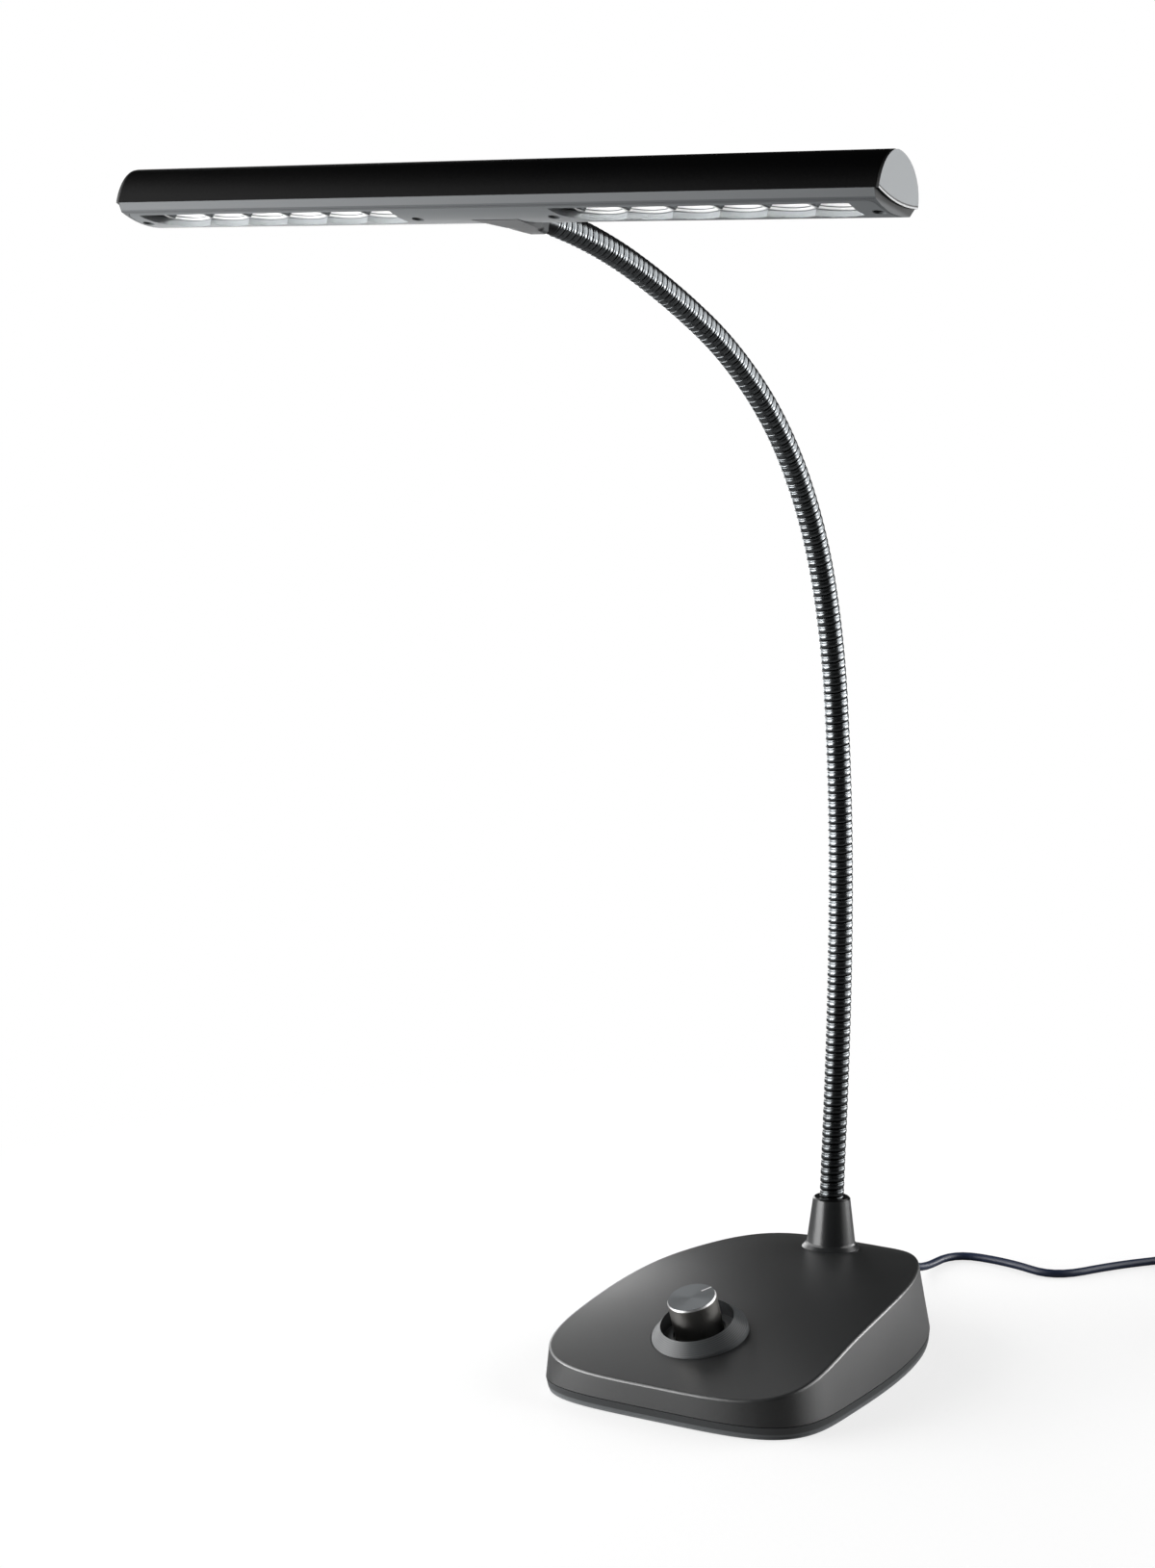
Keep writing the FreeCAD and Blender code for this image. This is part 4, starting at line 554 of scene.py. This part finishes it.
def mark_knob():
    """A white pointer line on the knob's top, a painted highlight on the chamfer, and a side painted paler as
    painted light.
    """
    marks = Marks("knob_metal")
    x, y, z = marks.axes(KNOB_PLACE)
    pointer = marks.line(x, y, POINTER_START, POINTER_END, POINTER_RADIUS)
    top = marks.above(z, KNOB_TOP - POINTER_DEPTH, SHARP_EDGE)
    marks.paint(marks.both(pointer, top), grey(0.8))
    # Painted highlight: pale from the top's edge down, kept on the chamfer once the side is painted.
    marks.paint(marks.below(z, KNOB_TOP - KNOB_EDGE_DEPTH, FINE_EDGE), grey(0.7))
    # Painted light: the side is painted a paler warm grey than the top to stand in for the light on it.
    marks.paint(marks.below(z, KNOB_TOP - KNOB_CHAMFER, SHARP_EDGE), (0.32, 0.31, 0.295))
    turn_knob_gloss(marks)


def turn_knob_gloss(marks):
    """The knob's stretched gloss runs around its axis, as on turned metal."""
    nodes, links = marks.nodes, marks.links
    shift = nodes.new("ShaderNodeVectorMath")
    shift.operation = "SUBTRACT"
    shift.inputs[1].default_value = KNOB_AT * MM
    links.new(marks.point, shift.inputs[0])
    around = nodes.new("ShaderNodeVectorMath")
    around.operation = "CROSS_PRODUCT"
    around.inputs[0].default_value = KNOB_FRAME.col[2]
    links.new(shift.outputs[0], around.inputs[1])
    tangent = nodes.new("ShaderNodeVectorTransform")
    tangent.vector_type = "VECTOR"
    tangent.convert_from = "OBJECT"
    tangent.convert_to = "WORLD"
    links.new(around.outputs[0], tangent.inputs[0])
    links.new(tangent.outputs[0], marks.shader.inputs["Tangent"])


DISH_RING_WAVE = 12.0
DISH_RING_SHARE = 0.25
DISH_RING_RELIEF = 0.5


def mark_dish():
    """Fine turned rings on the dish around the knob."""
    marks = Marks("dish_metal")
    x, y, _ = marks.axes(KNOB_PLACE)
    rings = marks.math("SINE", marks.math("MULTIPLY", marks.reach(x, y), DISH_RING_WAVE))
    marks.paint(marks.math("MULTIPLY_ADD", rings, DISH_RING_SHARE, DISH_RING_SHARE), cool(0.10))
    grain = marks.nodes["detail"].outputs["Grain"]
    relief = marks.math("MULTIPLY_ADD", rings, DISH_RING_RELIEF, grain)
    marks.links.new(relief, marks.nodes["relief"].inputs["Height"])


# Where the painted shadow around the dish and the painted light below the parting line lie.
DISH_SHADOW_RADIUS = 19.5
DISH_SHADOW_DEPTH = 2.75
DISH_SHADOW_FADE = 0.25
LIT_STRIP_TOP = 5.05
LIP_HIGHLIGHT_TOP = 2.1


def mark_base():
    """A painted shadow in the top around the dish, and painted light below the parting line: a paler strip
    and a lip highlight.
    """
    marks = Marks("base_black")
    x, y, z = marks.axes(KNOB_PLACE)
    near = marks.below(marks.math("ABSOLUTE", z), DISH_SHADOW_DEPTH, DISH_SHADOW_FADE)
    # Painted shadow: a black line around the dish, where its edge stands above the top.
    marks.paint(marks.both(marks.below(marks.reach(x, y), DISH_SHADOW_RADIUS), near), grey(0.001))
    height = marks.height()
    # Painted light: the strip below the parting line is painted paler than the rest of the base.
    marks.paint(marks.below(height, LIT_STRIP_TOP, SHARP_EDGE), cool(0.035))
    # Painted highlight along the lip at the bottom edge.
    marks.paint(marks.below(height, LIP_HIGHLIGHT_TOP), cool(0.10))


# Height above which the ferrule is painted black as painted shade.
FERRULE_SHADE_Z = 55.05


def mark_ferrule():
    """The rim of the ferrule around the neck is painted black as painted shade in the opening."""
    marks = Marks("ferrule_black")
    marks.paint(marks.above(marks.height(), FERRULE_SHADE_Z, SHARP_EDGE), grey(0.001))


# Where the painted shade and painted reflection in the reflector cells lie.
CELL_WALL_START = 0.4
CELL_WALL_SLOPE = 0.89
CELL_WALL_WIDTH = 0.4
CELL_WALL_FOOT = 0.07
WEDGE_START = 1.45
WEDGE_SLOPE = 0.10
WEDGE_TOP = 3.15
ARC_LOW = 0.6
ARC_HIGH = 0.9
ENTRY_END = 1.05
ENTRY_BLUR = 0.15
ENTRY_SLANT = 0.28
ENTRY_REACH = 11.95
ENTRY_TOP = 0.075
ENTRY_TOP_BLUR = 0.025


def mark_reflectors():
    """Painted shade and reflection in the reflectors: a dark curved entry in each window, and in each cell a
    grey left wall, a grey wedge and a thin arc.
    """
    marks = Marks("reflector_white")
    x, y, z = marks.axes(HEAD_PLACE)
    height = marks.math("SUBTRACT", z, PANEL_TOP_Z)
    row_shift = (CELL_ROW_LEFTS[1] - CELL_ROW_LEFTS[0]) % CELL_PITCH
    on_right = marks.math("GREATER_THAN", x, 0.0)
    along = marks.math("ADD", x, marks.math("MULTIPLY_ADD", on_right, -row_shift, -CELL_ROW_LEFTS[0]))
    cell = marks.math("FLOORED_MODULO", along, CELL_PITCH)
    from_wall = marks.math("SUBTRACT", cell, CELL_WALL_START)
    from_wall = marks.math("MULTIPLY_ADD", height, -CELL_WALL_SLOPE, from_wall)
    risen = marks.above(height, CELL_WALL_FOOT, SHARP_EDGE)
    wall = marks.both(marks.below(from_wall, CELL_WALL_WIDTH), risen)
    # Painted shade on each cell's left wall.
    marks.paint(wall, cool(0.10))
    wedge_low = marks.math("MULTIPLY_ADD", cell, WEDGE_SLOPE, WEDGE_START)
    wedge = marks.above(marks.math("SUBTRACT", height, wedge_low), 0, SHARP_EDGE)
    wedge = marks.both(wedge, marks.below(height, WEDGE_TOP, SHARP_EDGE))
    # Painted reflection: a grey wedge high in each cell.
    marks.paint(marks.both(wedge, marks.above(from_wall, CELL_WALL_WIDTH)), cool(0.12))
    arc_top = marks.below(height, ARC_HIGH, SHARP_EDGE)
    # Painted shade: a thin grey arc low in each cell.
    marks.paint(marks.both(marks.above(height, ARC_LOW, SHARP_EDGE), arc_top), cool(0.16))
    low = marks.below(height, ENTRY_TOP, ENTRY_TOP_BLUR)
    for left in CELL_ROW_LEFTS:
        into = marks.math("MULTIPLY_ADD", y, ENTRY_SLANT, marks.math("SUBTRACT", x, left - ENTRY_END))
        near = marks.both(low, marks.above(x, left - ENTRY_REACH, SHARP_EDGE))
        # Painted shade in the curved entry of each window.
        marks.paint(marks.both(near, marks.below(into, 0, ENTRY_BLUR)), cool(0.035))


# How the painted shade towards the neck's foot fades.
FOOT_SHADE_HEIGHT = 125.0
FOOT_SHADE_FADE = 75.0
FOOT_SHADE_SHARE = 0.7


def mark_neck():
    """Painted shade: darker metal near the foot and a black groove between the turns; the collar is its own
    dark colour.
    """
    marks = Marks("neck_steel")
    foot = marks.below(marks.height(), FOOT_SHADE_HEIGHT, FOOT_SHADE_FADE)
    marks.paint(marks.math("MULTIPLY", foot, FOOT_SHADE_SHARE), cool(0.03))
    depth = marks.nodes.new("ShaderNodeAttribute")
    depth.attribute_name = "groove"
    # Painted shade in the groove between the turns, from the darkness each vertex carries; on the collar this
    # darkness is its own colour.
    marks.paint(depth.outputs["Fac"], grey(0.003))


def make_finishes():
    base_finishes()
    dimmer_finishes()
    cord_finishes()
    head_finishes()
    mark_caps()
    mark_tray()
    mark_bracket()
    mark_knob()
    mark_dish()
    mark_base()
    mark_ferrule()
    mark_reflectors()
    mark_neck()


def dress_frame():
    """Every node of the frame gets the finish of its own slot."""
    for part in frame["record"]["subparts"]:
        mesh = NODES[part["node"]].data
        mesh.materials.clear()
        mesh.materials.append(FINISH[part["material_slot"]])


# ---------------------------------------------------------------- cord, in millimetres

LEAD = (
    (0, 50.5, 14),
    (-0.8, 68, 12.6),
    (-2.6, 92, 1.75),
    (-2.6, 125, 1.75),
    (25, 125.3, 1.75),
    (51, 114.8, 1.75),
    (66, 147, 1.75),
    (84, 171.5, 1.75),
)
TAIL = (
    (142.4, 211.2, 2),
    (161.4, 200.4, 2),
    (169.4, 180.4, 6),
)
CORD_DIAMETER = 3.5
COIL_MIDDLE = (122.4, 183.0)
COIL_ENTRY = 148.0
COIL_TURNS = 10.161
COIL_RADIUS = 27.6
COIL_STEP = 3.55
COIL_FLOOR = CORD_DIAMETER / 2
COIL_RISE = 3.6
COIL_CLIMB_START = 4.83
COIL_CLIMB_TURNS = 0.6
POINTS_PER_TURN = 16


def coil_points():
    """A flat coil of two layers, wound clockwise: inwards below, then outwards above.

    The curve takes 3/4 of each point and 1/8 of each neighbour, so the points lie a little outside the turns.
    """
    count = int(COIL_TURNS * POINTS_PER_TURN)
    widen = 1 / (0.75 + 0.25 * math.cos(math.tau / POINTS_PER_TURN))
    points = []
    for k in range(count + 1):
        turns = COIL_TURNS * k / count
        radius = COIL_RADIUS - COIL_STEP * min(turns, COIL_TURNS - turns)
        climb = min(max((turns - COIL_CLIMB_START) / COIL_CLIMB_TURNS, 0), 1)
        height = COIL_FLOOR + COIL_RISE * climb * climb * (3 - 2 * climb)
        angle = math.radians(COIL_ENTRY - 360 * turns)
        x = COIL_MIDDLE[0] + radius * widen * math.cos(angle)
        y = COIL_MIDDLE[1] + radius * widen * math.sin(angle)
        points.append((x, y, height))
    return points


def add_cord():
    """The whole cord as one curve: the lead along the table, the coil and the tail to the power supply."""
    route = [*LEAD, *coil_points(), *TAIL]
    curve = bpy.data.curves.new("cord", "CURVE")
    curve.dimensions = "3D"
    spline = curve.splines.new("NURBS")
    spline.points.add(len(route) - 1)
    for point, (x, y, z) in zip(spline.points, route):
        point.co = (x * MM, y * MM, z * MM, 1)
    spline.order_u = 3
    spline.use_endpoint_u = True
    spline.resolution_u = 6
    curve.bevel_depth = CORD_DIAMETER / 2 * MM
    curve.bevel_resolution = 5
    cord = bpy.data.objects.new("cord", curve)
    bpy.context.scene.collection.objects.link(cord)
    curve.materials.append(FINISH["cord_rubber"])
    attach(cord, "base")
    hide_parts("cord_lead", "cord_coil", "cord_tail")


# ---------------------------------------------------------------- gooseneck, in millimetres

NECK_PITCH = 3.185
# One turn of the winding: share of the pitch, radius, and how dark the painted shade in the groove is there.
WINDING = (
    (0.00, 4.40, 1.0),
    (0.05, 4.60, 1.0),
    (0.08, 4.82, 0.6),
    (0.12, 4.92, 0.0),
    (0.22, 4.98, 0.0),
    (0.34, 5.00, 0.0),
    (0.46, 5.00, 0.0),
    (0.56, 4.96, 0.0),
    (0.64, 4.88, 0.0),
    (0.68, 4.80, 0.35),
    (0.72, 4.86, 0.0),
    (0.80, 4.88, 0.0),
    (0.88, 4.82, 0.0),
    (0.93, 4.70, 0.5),
    (0.97, 4.50, 1.0),
)
COLLAR_START = 494.5
COLLAR_RADIUS = 4.95
COLLAR_DARKNESS = 0.8
AROUND = 40
SAME_POINT = 1e-6


def winding_points():
    """Turn, radius and darkness along the neck, from a turn before its root to the plain dark collar at its
    end.
    """
    points = []
    for turn in range(-1, int(NECK_LENGTH / NECK_PITCH) + 1):
        for phase, radius, shade in WINDING:
            if (turn + phase) * NECK_PITCH > COLLAR_START:
                # The collar's darkness is its own colour, not painted shade.
                radius, shade = COLLAR_RADIUS, COLLAR_DARKNESS
            points.append((turn + phase, radius, shade))
    return points


def sleeve(name, points):
    """A profile screwed once around a straight axis, then bent along the neck's centre line."""
    bm = bmesh.new()
    groove = bm.verts.layers.float.new("groove")
    profile = []
    for turns, radius, shade in points:
        vertex = bm.verts.new((radius, 0, turns * NECK_PITCH))
        vertex[groove] = shade
        profile.append(vertex)
    edges = [bm.edges.new(pair) for pair in zip(profile, profile[1:])]
    bmesh.ops.spin(
        bm, geom=profile + edges, axis=(0, 0, 1), dvec=(0, 0, NECK_PITCH / AROUND), angle=math.tau,
        steps=AROUND, use_merge=False,
    )
    for vertex in bm.verts:
        at, side, out = neck_at(min(max(vertex.co.z, 0), NECK_LENGTH))
        vertex.co = (at + side * vertex.co.x + out * vertex.co.y) * MM
    bmesh.ops.remove_doubles(bm, verts=bm.verts, dist=SAME_POINT)
    bmesh.ops.recalc_face_normals(bm, faces=bm.faces)
    mesh = bpy.data.meshes.new(name)
    bm.to_mesh(mesh)
    bm.free()
    for polygon in mesh.polygons:
        polygon.use_smooth = True
    mesh.materials.append(FINISH["neck_steel"])
    thing = bpy.data.objects.new(name, mesh)
    bpy.context.scene.collection.objects.link(thing)
    return thing


def add_gooseneck():
    """Ten sleeves of the wound tube, each from the middle of one neck tube to the middle of the next."""
    middles = [sum(NECK_LENGTHS[:k]) + NECK_LENGTHS[k] / 2 for k in range(len(NECK_LENGTHS))]
    points = winding_points()
    cuts = [0]
    for middle in middles[1:-1]:
        cuts.append((round(middle / NECK_PITCH) + 1) * len(WINDING))
    cuts.append(len(points) - 1)
    bodies = ["base", *[f"neck_{k:02d}" for k in range(1, 10)], "head"]
    for k in range(len(bodies) - 1):
        winding = sleeve(f"wound_neck_{k:02d}", points[cuts[k]:cuts[k + 1] + 1])
        start = neck_at(middles[k])[0] * MM
        end = neck_at(middles[k + 1])[0] * MM
        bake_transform(winding)
        hidden = [f"neck_tube_{k:02d}"]
        if bodies[k + 1] == "head":
            hidden.append("neck_tube_10")
        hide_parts(*hidden)


# ---------------------------------------------------------------- the scene

add_camera()
add_world()
add_floor()
for box in SOFT_BOXES:
    add_soft_box(*box)
bpy.context.scene.view_settings.view_transform = "Standard"
make_finishes()
dress_frame()
add_cord()
add_gooseneck()
